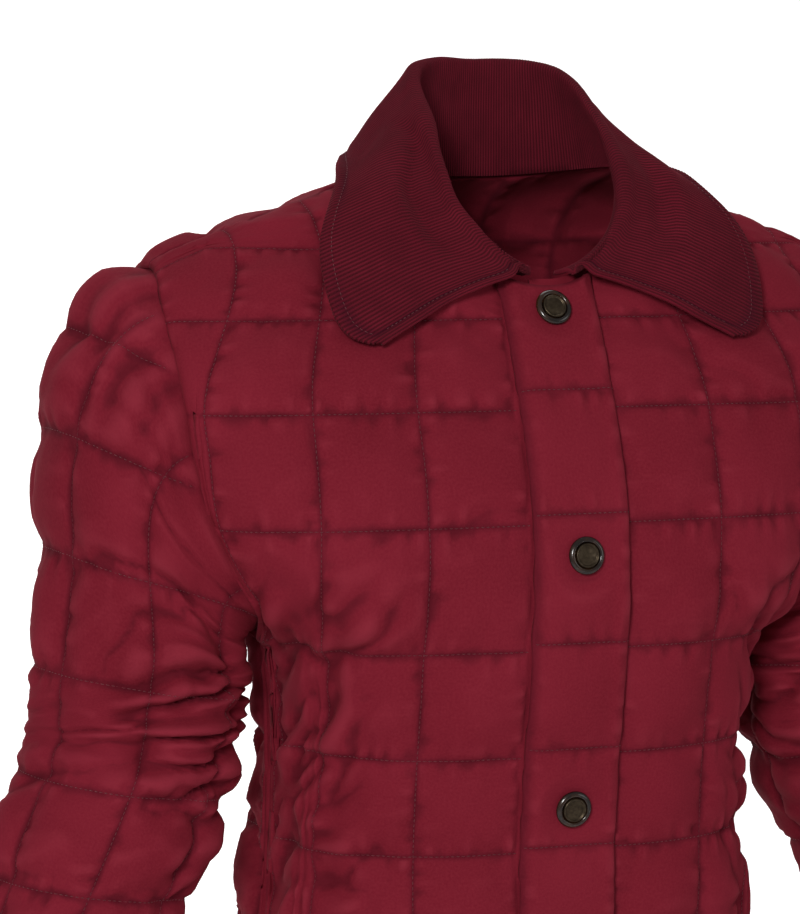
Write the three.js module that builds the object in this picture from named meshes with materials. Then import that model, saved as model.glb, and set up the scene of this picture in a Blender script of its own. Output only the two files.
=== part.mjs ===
// A box-quilted jacket with a corduroy collar and a snap front, held in the shape in which it is worn.
// Units are millimetres. The front faces -Y, the wearer's right is -X and +Z is up.
// The origin is the middle of the neck, at the height of the side neck points.
import * as THREE from 'three';

// Driving sizes of the body
const HEM_Z = -740;
const NECK_HALF_WIDTH = 72;
const FRONT_NECK_DROP = 66;
const BACK_NECK_DROP = 8;
const SHOULDER_HALF_WIDTH = 218;
const SHOULDER_SLOPE = Math.tan(THREE.MathUtils.degToRad(21));
const SHOULDER_FORWARD = 14;
const FRONT_CLOSING = 110;
const BACK_CLOSING = 70;
const UNDERARM_Z = -275;
const CHEST_Z = -139;
const SEAM_GAP = 0.4;
const STRIP_GAP = 1.2;

// Quilting: cells of this width, and a wall that is thin at the stitches and full between them
const CELL = 61;
const STEPS = 3;
const STITCHED_WALL = 3;
const FULL_WALL = 8;
const SLEEVE_FULL_WALL = 7;
const SLEEVE_TUCK = 5;
const PUFF_POWER = 2.5;
const ROW_LINES = [-48, -88, CHEST_Z, -203, UNDERARM_Z, -338, -395, -457, -519, -581, -643, -705, HEM_Z];
const ROW_SQUEEZE = 5;
const STRIP_ROW_LINES = [-130, -198, -270, -332, -391, -453, -515, -577, -639, -701, HEM_Z];

// The front strip and its fasteners
const PLACKET_WIDTH = 60;
const PLACKET_LIFT = 4.2;
const PLACKET_TOP_DROP = 6;
const UNDERLAP_REACH = 8;
const PLACKET_SEAM_LIFT = 3.6;
const UNDERLAP_WALL = 2.8;
const SNAP_HEIGHTS = [-81, -220, -369, -514, -659];
const SNAP_RADIUS = 11;
const SNAP_SEAT_REACH = 30;
const SNAP_SEAT_WALL = 5.5;

// Body sections, one row for each height: half width, depth in front of and behind the side, squareness
const SECTIONS = [
  { z: 0, half: 262, front: 46, back: 95, power: 4 },
  { z: -60, half: 250, front: 67, back: 100, power: 4 },
  { z: -120, half: 229, front: 97, back: 106, power: 3.8 },
  { z: -160, half: 221, front: 113, back: 105, power: 3.5 },
  { z: -203, half: 215, front: 125, back: 104, power: 3.1 },
  { z: -240, half: 193, front: 127, back: 101, power: 2.9 },
  { z: -275, half: 150, front: 124, back: 98, power: 2.8 },
  { z: -300, half: 144, front: 121, back: 96, power: 2.8 },
  { z: -338, half: 142, front: 114, back: 94, power: 2.8 },
  { z: -395, half: 143, front: 107, back: 97, power: 2.8 },
  { z: -457, half: 149, front: 108, back: 106, power: 2.7 },
  { z: -560, half: 168, front: 116, back: 124, power: 2.6 },
  { z: -740, half: 192, front: 130, back: 142, power: 2.5 },
];

// The armhole, seen from the front: how far out its edge is at each height
const ARMHOLE = [
  { z: -56, out: 218 },
  { z: -80, out: 221 },
  { z: -120, out: 217 },
  { z: -160, out: 212 },
  { z: -203, out: 202 },
  { z: -240, out: 182 },
  { z: -275, out: 150 },
];

// Sleeve rings below the armhole: centre, and half sizes across and front to back
const SLEEVE = [
  { x: 225, y: -2, z: -302, across: 58, deep: 63 },
  { x: 235, y: -6, z: -350, across: 55, deep: 60 },
  { x: 271, y: -14, z: -430, across: 52, deep: 55 },
  { x: 311, y: -24, z: -518, across: 47, deep: 50 },
  { x: 350, y: -36, z: -606, across: 43, deep: 46 },
];
const SLEEVE_CELLS_AROUND = 7;
const SLEEVE_CELLS_HEAD = 3;
const SLEEVE_CELLS_BELOW = 6;

// The collar, a row for each station from the middle of the back to the end in front:
// the roll line and the free edge, on the side where x is positive
const COLLAR = [
  { share: 0, rollX: 0, rollY: 40, rollZ: 64, edgeX: 0, edgeY: 66, edgeZ: -26 },
  { share: 0.14, rollX: 30, rollY: 30, rollZ: 63, edgeX: 52, edgeY: 60, edgeZ: -14 },
  { share: 0.28, rollX: 47, rollY: 6, rollZ: 55, edgeX: 84, edgeY: 36, edgeZ: 3 },
  { share: 0.42, rollX: 52, rollY: -22, rollZ: 34, edgeX: 103, edgeY: -6, edgeZ: -5 },
  { share: 0.56, rollX: 54, rollY: -50, rollZ: 8, edgeX: 120, edgeY: -44, edgeZ: -17 },
  { share: 0.7, rollX: 51, rollY: -68, rollZ: -18, edgeX: 136, edgeY: -66, edgeZ: -44 },
  { share: 0.85, rollX: 37, rollY: -80, rollZ: -40, edgeX: 136, edgeY: -86, edgeZ: -78 },
  { share: 0.95, rollX: 22, rollY: -84, rollZ: -53, edgeX: 127, edgeY: -92, edgeZ: -97 },
  { share: 1, rollX: 14, rollY: -86, rollZ: -57, edgeX: 110, edgeY: -96, edgeZ: -99 },
];
const COLLAR_WALL = 3.6;
const COLLAR_COLUMNS = 40;
const COLLAR_ROLL_RADIUS = 5;
const COLLAR_CLEARANCE = 10.6;
const COLLAR_PLACKET_CLEARANCE = 15.2;

// Large folds, along a line from one point to another: on the fronts by arc from the middle and by
// height, on the sleeves by share around and by distance below the armhole level
const FRONT_FOLDS = [
  { u0: 205, v0: -262, u1: 168, v1: -392, width: 13, depth: -4 },
  { u0: 226, v0: -280, u1: 196, v1: -372, width: 12, depth: -4.5 },
  { u0: 214, v0: -330, u1: 236, v1: -430, width: 12, depth: -4 },
  { u0: 188, v0: -215, u1: 160, v1: -262, width: 12, depth: -3 },
];
const SLEEVE_FOLDS = [
  { u0: 0.02, v0: 8, u1: 0.4, v1: 44, width: 12, depth: -4 },
  { u0: 0.0, v0: 46, u1: 0.36, v1: 62, width: 12, depth: -4.5 },
  { u0: 0.05, v0: 92, u1: 0.38, v1: 74, width: 12, depth: -4 },
  { u0: 0.72, v0: 30, u1: 0.98, v1: 56, width: 12, depth: -3.5 },
];

const CLOTH_COLOUR = '#7a1f30';
const CORDUROY_COLOUR = '#5a1226';
const SNAP_RIM_COLOUR = '#2b1a12';
const SNAP_CAP_COLOUR = '#5e5246';

const vector = (x, y, z) => new THREE.Vector3(x, y, z);
const { clamp, lerp, smoothstep } = THREE.MathUtils;

// The value of a column of a table at a key, on a smooth curve through its rows
function tableAt(table, key, column, at) {
  const rising = table[table.length - 1][key] > table[0][key];
  const inside = rising
    ? clamp(at, table[0][key], table[table.length - 1][key])
    : clamp(at, table[table.length - 1][key], table[0][key]);
  let i = 0;
  while (i < table.length - 2 && (rising ? inside > table[i + 1][key] : inside < table[i + 1][key])) i += 1;
  const slopeAt = (k) => {
    const before = table[Math.max(k - 1, 0)];
    const after = table[Math.min(k + 1, table.length - 1)];
    return (after[column] - before[column]) / (after[key] - before[key]);
  };
  const low = table[i];
  const high = table[i + 1];
  const span = high[key] - low[key];
  const t = (inside - low[key]) / span;
  const h00 = (1 + 2 * t) * (1 - t) * (1 - t);
  const h10 = t * (1 - t) * (1 - t);
  const h01 = t * t * (3 - 2 * t);
  const h11 = t * t * (t - 1);
  return h00 * low[column] + h10 * span * slopeAt(i) + h01 * high[column] + h11 * span * slopeAt(i + 1);
}

const ridgeHeight = (x) => (x > NECK_HALF_WIDTH
  ? -(x - NECK_HALF_WIDTH) * SHOULDER_SLOPE
  : (NECK_HALF_WIDTH - x) * 0.1);

const ridgeY = (x) => -SHOULDER_FORWARD
  * (1 - clamp((x - NECK_HALF_WIDTH) / (SHOULDER_HALF_WIDTH - NECK_HALF_WIDTH), 0, 1));

// How far the wall stands in front of (side "front") or behind the ridge at a point of the front view
function wallY(side, x, z) {
  const half = tableAt(SECTIONS, 'z', 'half', z);
  const power = tableAt(SECTIONS, 'z', 'power', z);
  const depth = tableAt(SECTIONS, 'z', side, z);
  const closing = side === 'front' ? FRONT_CLOSING : BACK_CLOSING;
  const below = clamp((ridgeHeight(x) - z) / closing, 0, 1);
  const close = Math.sqrt(1 - (1 - below) ** 2);
  const across = clamp(x / half, 0, 1);
  const full = depth * (1 - across ** power) ** (1 / power);
  const ridge = ridgeY(x) * (1 - smoothstep(below, 0, 1));
  return ridge + (side === 'front' ? -1 : 1) * full * close;
}

// A section at one height from the middle to the side, as points with their arc length
function sectionLine(side, z) {
  const samples = 80;
  const half = tableAt(SECTIONS, 'z', 'half', z);
  const line = [];
  let length = 0;
  for (let i = 0; i <= samples; i += 1) {
    const x = half * Math.sin((Math.PI / 2) * (i / samples) ** 0.8);
    const y = wallY(side, x, z);
    if (i > 0) length += Math.hypot(x - line[i - 1].x, y - line[i - 1].y);
    line.push({ x, y, length });
  }
  return line;
}

function xAtArc(line, arc) {
  let i = 0;
  while (i < line.length - 2 && line[i + 1].length < arc) i += 1;
  const share = clamp((arc - line[i].length) / (line[i + 1].length - line[i].length), 0, 1);
  return lerp(line[i].x, line[i + 1].x, share);
}

function arcAtX(line, x) {
  let i = 0;
  while (i < line.length - 2 && line[i + 1].x < x) i += 1;
  const share = clamp((x - line[i].x) / (line[i + 1].x - line[i].x), 0, 1);
  return lerp(line[i].length, line[i + 1].length, share);
}

// The armhole's or side seam's distance out at a height
const edgeX = (z) => (z > UNDERARM_Z
  ? tableAt(ARMHOLE, 'z', 'out', z)
  : tableAt(SECTIONS, 'z', 'half', z));

// A quilt column's distance out: a fixed arc below the chest, drawn in a little towards the shoulder
const CHEST_LINE = { front: sectionLine('front', CHEST_Z), back: sectionLine('back', CHEST_Z) };
const LINE_GAP = 7;
function columnX(side, arc, z) {
  const edge = edgeX(Math.min(z, ridgeHeight(SHOULDER_HALF_WIDTH)));
  if (z > CHEST_Z) {
    const drawnIn = 1 - 0.16 * smoothstep(z, CHEST_Z, -40);
    return Math.min(xAtArc(CHEST_LINE[side], arc) * drawnIn, edge - LINE_GAP);
  }
  const line = sectionLine(side, z);
  return xAtArc(line, Math.min(arc, arcAtX(line, edge) - LINE_GAP));
}

const neckHeight = (side, x) => {
  const share = clamp(1 - (x / NECK_HALF_WIDTH) ** 2.2, 0, 1);
  return side === 'front' ? -FRONT_NECK_DROP * share ** 0.75 : -BACK_NECK_DROP * share;
};

const topHeight = (side, x) => (x < NECK_HALF_WIDTH ? neckHeight(side, x) : ridgeHeight(x));

// The arcs from the middle at which the mesh of a panel has its columns; the last cell ends at the edge
function columnsFor(lines) {
  const columns = [];
  for (let i = 0; i < lines.length; i += 1) {
    for (let step = 0; step < STEPS; step += 1) {
      columns.push({ from: lines[i], to: lines[i + 1] ?? null, share: step / STEPS, cell: i });
    }
  }
  columns.push({ from: null, to: null, share: 1, cell: lines.length });
  return columns;
}

function placeX(side, column, z) {
  const edge = edgeX(Math.min(z, ridgeHeight(SHOULDER_HALF_WIDTH)));
  if (column.from === null) return edge;
  const from = columnX(side, column.from, z);
  const to = column.to === null ? edge : columnX(side, column.to, z);
  return lerp(from, to, column.share);
}

// The heights of one column's points, from the neck or shoulder to the hem
function heightsOf(side, xAt, rowLines, topDrop) {
  let top = ridgeHeight(SHOULDER_HALF_WIDTH);
  for (let i = 0; i < 12; i += 1) top = topHeight(side, Math.abs(xAt(top)));
  top -= topDrop;
  const lines = [top];
  for (const [i, line] of rowLines.entries()) lines.push(Math.min(line, top - ROW_SQUEEZE * (i + 1)));
  const heights = [];
  for (let i = 0; i < lines.length - 1; i += 1) {
    for (let step = 0; step < STEPS; step += 1) heights.push(lerp(lines[i], lines[i + 1], step / STEPS));
  }
  heights.push(lines[lines.length - 1]);
  return heights;
}

// A panel's inner points, as a list of rows
function panelGrid(side, columns, sign, rowLines = ROW_LINES, topDrop = 0) {
  const grid = Array.from({ length: rowLines.length * STEPS + 1 }, () => []);
  for (const column of columns) {
    const xAt = (z) => column.x ?? placeX(side, column, z);
    const heights = heightsOf(side, xAt, rowLines, topDrop);
    heights.forEach((z, row) => {
      const x = xAt(z);
      grid[row].push(vector(sign * x, wallY(side, Math.abs(x), z), z));
    });
  }
  return grid;
}

// Unit normals of a grid that point away from the middle line given for each row
function normalsOf(grid, centreOf, closed = false) {
  const columns = grid[0].length;
  return grid.map((row, r) => row.map((point, c) => {
    const left = closed ? row[(c + columns - 1) % columns] : row[Math.max(c - 1, 0)];
    const right = closed ? row[(c + 1) % columns] : row[Math.min(c + 1, columns - 1)];
    const above = grid[Math.max(r - 1, 0)][c];
    const below = grid[Math.min(r + 1, grid.length - 1)][c];
    const normal = right.clone().sub(left).cross(below.clone().sub(above)).normalize();
    return normal.dot(point.clone().sub(centreOf(r, c))) < 0 ? normal.negate() : normal;
  }));
}

// The share of the full puff at a place in a cell, 0 at its stitches
const puff = (u, v) => (1 - Math.abs(2 * u - 1) ** PUFF_POWER) * (1 - Math.abs(2 * v - 1) ** PUFF_POWER);

// The wall of a quilted grid at a row and column, lower where the cell is small
function quiltedWall(grid, r, c, full, closed = false) {
  const u = (c % STEPS) / STEPS;
  const v = (r % STEPS) / STEPS;
  if (u === 0 || v === 0) return STITCHED_WALL;
  const rowFrom = r - (r % STEPS);
  const columnFrom = c - (c % STEPS);
  const columnTo = closed ? (columnFrom + STEPS) % grid[0].length : columnFrom + STEPS;
  const width = grid[r][columnFrom].distanceTo(grid[r][columnTo]);
  const height = grid[rowFrom][c].distanceTo(grid[rowFrom + STEPS][c]);
  const size = Math.min(1, width / 40, height / 40);
  return STITCHED_WALL + (full - STITCHED_WALL) * size * puff(u, v) / puff(1 / 3, 1 / 3);
}

const moved = (grid, normals, amountAt) => grid.map((row, r) => row.map(
  (point, c) => point.clone().addScaledVector(normals[r][c], amountAt(r, c)),
));

// A soft trough or ridge along a line, as a height above the surface
function foldAt(folds, u, v, scaleU = 1) {
  let height = 0;
  for (const fold of folds) {
    const du = (fold.u1 - fold.u0) * scaleU;
    const dv = fold.v1 - fold.v0;
    const along = (((u - fold.u0) * scaleU) * du + (v - fold.v0) * dv) / (du * du + dv * dv);
    const nearest = clamp(along, 0, 1);
    const away = Math.hypot((u - fold.u0) * scaleU - nearest * du, v - fold.v0 - nearest * dv);
    const ends = Math.sin(Math.PI * clamp(along, 0.04, 0.96)) ** 0.5;
    height += fold.depth * Math.exp(-((away / fold.width) ** 2)) * ends;
  }
  return height;
}

// A closed wall between two grids of rows; kept lists the rows that the inner face keeps
function wallGeometry(outer, inner, { closed = false, kept = inner.map((row, r) => r) } = {}) {
  const points = [];
  const index = [];
  const place = (grid) => grid.map((row) => row.map((point) => points.push(point) - 1));
  const out = place(outer);
  const back = place(kept.map((r) => inner[r]));
  const rows = out.length - 1;
  const count = out[0].length;
  const columns = closed ? count : count - 1;
  const next = (c) => (c + 1) % count;
  const quad = (a, b, c, d) => index.push(a, b, c, a, c, d);
  for (let c = 0; c < columns; c += 1) {
    for (let r = 0; r < rows; r += 1) quad(out[r][c], out[r][next(c)], out[r + 1][next(c)], out[r + 1][c]);
    for (let k = 0; k < back.length - 1; k += 1) {
      quad(back[k][c], back[k + 1][c], back[k + 1][next(c)], back[k][next(c)]);
    }
    const last = back.length - 1;
    quad(out[0][next(c)], out[0][c], back[0][c], back[0][next(c)]);
    quad(out[rows][c], out[rows][next(c)], back[last][next(c)], back[last][c]);
  }
  if (!closed) {
    for (let k = 0; k < back.length - 1; k += 1) {
      for (let r = kept[k]; r < kept[k + 1]; r += 1) {
        index.push(back[k][0], out[r][0], out[r + 1][0]);
        index.push(back[k][columns], out[r + 1][columns], out[r][columns]);
      }
      index.push(back[k][0], out[kept[k + 1]][0], back[k + 1][0]);
      index.push(back[k][columns], back[k + 1][columns], out[kept[k + 1]][columns]);
    }
  }
  return facingOut(points, index);
}

// A geometry whose faces are turned outwards where its signed volume says that they point in
function facingOut(points, index) {
  let volume = 0;
  for (let i = 0; i < index.length; i += 3) {
    const [a, b, c] = [points[index[i]], points[index[i + 1]], points[index[i + 2]]];
    volume += a.dot(b.clone().cross(c));
  }
  if (volume < 0) {
    for (let i = 0; i < index.length; i += 3) [index[i + 1], index[i + 2]] = [index[i + 2], index[i + 1]];
  }
  const geometry = new THREE.BufferGeometry();
  geometry.setAttribute('position', new THREE.Float32BufferAttribute(points.flatMap((p) => p.toArray()), 3));
  geometry.setIndex(index);
  geometry.computeVertexNormals();
  return geometry;
}

const fabric = (colour, roughness) => new THREE.MeshStandardMaterial({ color: colour, roughness, metalness: 0 });

function namedMesh(name, geometry, material) {
  const mesh = new THREE.Mesh(geometry, material);
  mesh.name = name;
  return mesh;
}

// The rows of a wall's plain inner face: all of them down to the last one given, and one a cell below it
const keptRows = (grid, allTo) => grid.map((row, r) => r).filter((r) => r <= allTo || r % STEPS === 0);
const UNDERARM_ROW = STEPS * (ROW_LINES.indexOf(UNDERARM_Z) + 1);
const bodyMiddle = (grid) => (r, c) => vector(grid[r][c].x * 0.4, 0, grid[r][c].z - 30);

// Moves a grid's edges off the seams that it shares with its neighbours
function openSeams(grid, side) {
  const away = side === 'front' ? -SEAM_GAP / 2 : SEAM_GAP / 2;
  for (const row of grid) {
    for (const point of row) {
      if (Math.abs(point.y - ridgeY(Math.abs(point.x))) < 0.05 || Math.abs(point.y) < 0.05) point.y += away;
    }
  }
}

const FRONT_LINES = [PLACKET_WIDTH / 2, PLACKET_WIDTH / 2 + CELL, PLACKET_WIDTH / 2 + 2 * CELL,
  PLACKET_WIDTH / 2 + 3 * CELL];
const BACK_LINES = [CELL / 2, 1.5 * CELL, 2.5 * CELL, 3.5 * CELL];

function foldFront(grid, normals) {
  return moved(grid, normals, (r, c) => {
    const point = grid[r][c];
    const arc = arcAtX(sectionLine('front', point.z), Math.abs(point.x));
    const free = clamp((grid[r][grid[r].length - 1].distanceTo(point)) / 20, 0, 1);
    return foldAt(FRONT_FOLDS, arc, point.z) * free;
  });
}

// A front panel: sign -1 is the wearer's right, which ends at the strip; the other runs on under it
function frontPanel(name, sign) {
  const columns = columnsFor(FRONT_LINES);
  if (sign > 0) {
    for (let i = 2; i >= 0; i -= 1) {
      columns.unshift({ x: lerp(-UNDERLAP_REACH, PLACKET_WIDTH / 2 - 4, i / 2) });
    }
  }
  const flat = sign > 0 ? 3 : 0;
  const grid = panelGrid('front', columns, sign);
  openSeams(grid, 'front');
  if (sign < 0) grid.forEach((row) => { row[0].x -= STRIP_GAP; });
  const normals = normalsOf(grid, bodyMiddle(grid));
  const inner = foldFront(grid, normals);
  const quilted = grid.map((row) => row.slice(flat));
  const outer = moved(inner, normals, (r, c) => (
    c < flat ? UNDERLAP_WALL : quiltedWall(quilted, r, c - flat, FULL_WALL)
  ));
  const kept = keptRows(inner, UNDERARM_ROW);
  return namedMesh(name, wallGeometry(outer, inner, { kept }), fabric(CLOTH_COLOUR, 0.85));
}

function backPanel() {
  const halfColumns = columnsFor(BACK_LINES);
  const right = panelGrid('back', halfColumns, -1);
  const left = panelGrid('back', halfColumns, 1);
  const middle = [1, 2].map((i) => ({ x: lerp(-CELL / 2, CELL / 2, i / STEPS) }));
  const centre = panelGrid('back', middle, 1);
  const grid = right.map((row, r) => [...row.toReversed(), ...centre[r], ...left[r]]);
  openSeams(grid, 'back');
  const normals = normalsOf(grid, bodyMiddle(grid));
  const outer = moved(grid, normals, (r, c) => quiltedWall(grid, r, c, FULL_WALL));
  const kept = keptRows(grid, UNDERARM_ROW);
  return namedMesh('back', wallGeometry(outer, grid, { kept }), fabric(CLOTH_COLOUR, 0.85));
}

// The strip over the middle front, made from the front's points, moved out over the underlap
const PLACKET_COLUMNS = [0, 1, 2, 3].map((i) => ({ x: lerp(-1, 1, i / STEPS) * (PLACKET_WIDTH / 2 - SEAM_GAP) }));

function placketGrids() {
  const grid = panelGrid('front', PLACKET_COLUMNS, 1, STRIP_ROW_LINES, PLACKET_TOP_DROP);
  const normals = normalsOf(grid, bodyMiddle(grid));
  const inner = moved(grid, normals, (r, c) => (c === 0 ? PLACKET_SEAM_LIFT : PLACKET_LIFT));
  const outer = moved(inner, normals, (r, c) => {
    const seat = SNAP_HEIGHTS.some((height) => Math.abs(grid[r][c].z - height) < SNAP_SEAT_REACH);
    const edge = c === 0 || c === STEPS;
    return seat && !edge ? SNAP_SEAT_WALL : quiltedWall(grid, r, c, FULL_WALL);
  });
  return { inner, outer };
}

function placketMesh() {
  const { inner, outer } = placketGrids();
  return namedMesh('placket', wallGeometry(outer, inner), fabric(CLOTH_COLOUR, 0.85));
}

// The armhole's points, from the underarm up the front, over the shoulder and down the back
function armholeLoop(sign, count) {
  const heights = [];
  for (let i = 0; i <= 60; i += 1) {
    heights.push(lerp(UNDERARM_Z, ridgeHeight(SHOULDER_HALF_WIDTH), (1 - Math.cos((Math.PI * i) / 60)) / 2));
  }
  const trace = (side) => heights.map((z) => vector(sign * edgeX(z), wallY(side, edgeX(z), z), z));
  const loop = [...trace('front'), ...trace('back').toReversed().slice(1, -1)];
  loop[0].y = 0;
  const curve = new THREE.CatmullRomCurve3(loop, true, 'centripetal');
  return curve.getSpacedPoints(count).slice(0, count);
}

// A ring of the sleeve below the armhole level, at a share of its length
function sleeveRing(sign, share, count) {
  const at = share * (SLEEVE.length - 1);
  const key = SLEEVE.map((row, i) => ({ ...row, i }));
  const centreAt = (k) => vector(
    sign * tableAt(key, 'i', 'x', k),
    tableAt(key, 'i', 'y', k),
    tableAt(key, 'i', 'z', k),
  );
  const centre = centreAt(at);
  const axis = centreAt(Math.min(at + 0.05, SLEEVE.length - 1))
    .sub(centreAt(Math.max(at - 0.05, 0))).normalize();
  const forward = vector(0, -1, 0).addScaledVector(axis, axis.y).normalize();
  const inward = vector(-sign, 0, 0).addScaledVector(axis, sign * axis.x).normalize();
  const points = [];
  for (let i = 0; i < count; i += 1) {
    const angle = (2 * Math.PI * i) / count;
    points.push(centre.clone()
      .addScaledVector(inward, Math.cos(angle) * tableAt(key, 'i', 'across', at))
      .addScaledVector(forward, Math.sin(angle) * tableAt(key, 'i', 'deep', at)));
  }
  return { points, centre, axis };
}

function sleeveMesh(name, sign) {
  const count = SLEEVE_CELLS_AROUND * STEPS;
  const loop = armholeLoop(sign, count);
  const first = sleeveRing(sign, 0, count);
  const outward = vector(sign * 0.957, 0, -0.29);
  // The sleeve starts just inside the armhole's edge, so that the body stands over it as a ledge
  const middle = loop.reduce((sum, point) => sum.add(point), vector(0, 0, 0)).divideScalar(count);
  const start = loop.map((point, i) => {
    const radial = point.clone().sub(middle);
    radial.addScaledVector(outward, -radial.dot(outward)).normalize();
    const underarm = Math.max(0, Math.cos((2 * Math.PI * i) / count)) ** 8;
    return point.clone().addScaledVector(outward, 2.2).addScaledVector(radial, -SLEEVE_TUCK)
      .add(vector(0, 0, 8 * underarm));
  });
  const headRows = SLEEVE_CELLS_HEAD * STEPS;
  const belowRows = SLEEVE_CELLS_BELOW * STEPS;
  const grid = [];
  for (let r = 0; r < headRows; r += 1) {
    const t = r / headRows;
    grid.push(start.map((from, i) => {
      const to = first.points[i];
      const reach = from.distanceTo(to);
      const underarm = Math.max(0, Math.cos((2 * Math.PI * i) / count));
      const pull = outward.clone().multiplyScalar(reach * (1.1 + 0.8 * underarm));
      const drop = first.axis.clone().multiplyScalar(reach * 1.1);
      return from.clone().multiplyScalar((1 + 2 * t) * (1 - t) * (1 - t))
        .addScaledVector(pull, t * (1 - t) * (1 - t))
        .addScaledVector(to, t * t * (3 - 2 * t))
        .addScaledVector(drop, t * t * (t - 1));
    }));
  }
  for (let r = 0; r <= belowRows; r += 1) grid.push(sleeveRing(sign, r / belowRows, count).points);
  const middleOf = grid.map((row) => row
    .reduce((sum, point) => sum.add(point), vector(0, 0, 0)).divideScalar(count));
  const normals = normalsOf(grid, (r) => middleOf[r], true);
  const inner = moved(grid, normals, (r, c) => {
    const below = r < headRows ? -40 : 58 * ((r - headRows) / STEPS);
    return foldAt(SLEEVE_FOLDS, c / count, below, 400);
  });
  const outer = moved(inner, normals, (r, c) => (
    r === 0 ? STITCHED_WALL - 0.5 : quiltedWall(grid, r, c, SLEEVE_FULL_WALL, true)
  ));
  const geometry = wallGeometry(outer, inner, { closed: true, kept: keptRows(inner, headRows) });
  return namedMesh(name, geometry, fabric(CLOTH_COLOUR, 0.85));
}

// The neck seam at a share of the way from the middle of the back to the front end, on the side where
// x is positive, with the direction in which the panel's surface runs on past it
function neckSeam(share) {
  const back = share < 0.46;
  const side = back ? 'back' : 'front';
  const x = back
    ? NECK_HALF_WIDTH * Math.sin((Math.PI / 2) * (share / 0.46))
    : lerp(NECK_HALF_WIDTH, 10, ((share - 0.46) / 0.54) ** 1.5);
  const z = topHeight(side, x);
  const seam = vector(x, wallY(side, x, z), z);
  const lower = vector(x, wallY(side, x, z - 6), z - 6);
  return { seam, onward: seam.clone().sub(lower).normalize() };
}

// Moves a point of the collar's fall until it clears the quilted body: out from the wall, up from the
// shoulder ridge, or some of each where the wall turns over
function clearOfBody(point) {
  const x = Math.abs(point.x);
  const clearance = lerp(COLLAR_PLACKET_CLEARANCE, COLLAR_CLEARANCE, smoothstep(x, 34, 60));
  const rise = ridgeHeight(x) + clearance - point.z;
  const before = point.y < ridgeY(x);
  const wall = wallY(before ? 'front' : 'back', x, point.z - clearance);
  const out = before ? point.y - wall + clearance : wall + clearance - point.y;
  if (rise > 0 && out > 0) {
    const share = rise ** 2 / (rise ** 2 + out ** 2);
    point.z += rise * Math.sqrt(1 - share);
    point.y += (before ? -out : out) * Math.sqrt(share);
  }
  return point;
}

function collarColumn(share) {
  const at = (column) => tableAt(COLLAR, 'share', column, share);
  const roll = vector(at('rollX'), at('rollY'), at('rollZ'));
  const edge = vector(at('edgeX'), at('edgeY'), at('edgeZ'));
  const { seam, onward } = neckSeam(share);
  const foot = seam.clone().addScaledVector(onward, 4.4);
  const outward = vector(edge.x - roll.x, edge.y - roll.y, 0).normalize();
  const radius = Math.min(COLLAR_ROLL_RADIUS, foot.distanceTo(roll) * 0.35);
  const up = vector(0, 0, 1);
  const fall = (t, lift) => clearOfBody(roll.clone().addScaledVector(outward, 2 * radius)
    .addScaledVector(up, -radius).lerp(edge, t).addScaledVector(up, lift));
  return [
    foot,
    foot.clone().lerp(roll, 0.35),
    foot.clone().lerp(roll, 0.7),
    roll.clone().addScaledVector(up, -radius * 0.6),
    roll.clone().addScaledVector(outward, radius * 0.35).addScaledVector(up, radius * 0.1),
    roll.clone().addScaledVector(outward, radius * 1.3),
    fall(0.02, 1),
    fall(0.22, 3),
    fall(0.48, 4),
    fall(0.74, 2),
    fall(1, 0),
  ];
}

function collarMesh() {
  const columns = [];
  for (let i = 0; i <= COLLAR_COLUMNS; i += 1) {
    const across = (2 * i) / COLLAR_COLUMNS - 1;
    const column = collarColumn(Math.abs(across));
    columns.push(column.map((point) => vector(Math.sign(across) * point.x, point.y, point.z)));
  }
  const grid = columns[0].map((_, row) => columns.map((column) => column[row]));
  const last = grid.length - 1;
  // The wall is measured the same way all over: out at the fall, so in towards the neck at the stand
  const normals = grid.map((row, r) => row.map((_, c) => {
    const left = row[Math.max(c - 1, 0)];
    const right = row[Math.min(c + 1, row.length - 1)];
    const above = grid[Math.max(r - 1, 0)][c];
    const below = grid[Math.min(r + 1, last)][c];
    return right.clone().sub(left).cross(below.clone().sub(above)).normalize().negate();
  }));
  const outer = moved(grid, normals, () => COLLAR_WALL / 2);
  const inner = moved(grid, normals, () => -COLLAR_WALL / 2);
  return namedMesh('collar', wallGeometry(outer, inner), fabric(CORDUROY_COLOUR, 0.95));
}

// A press snap's outer face: a horn-like rim with a raised metal ring and a plain cap set in it
const SNAP_RIM_PROFILE = [[0, 0], [9, 0], [11, 1.2], [10.6, 2.8], [8.8, 3.6], [7.4, 2.9], [7.2, 2.2], [0, 2.2]];
const SNAP_CAP_PROFILE = [[0, 2.5], [6.9, 2.5], [6.9, 3.2], [6.1, 3.9], [5.4, 3.3], [3, 3.7], [0, 3.9]];

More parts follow.
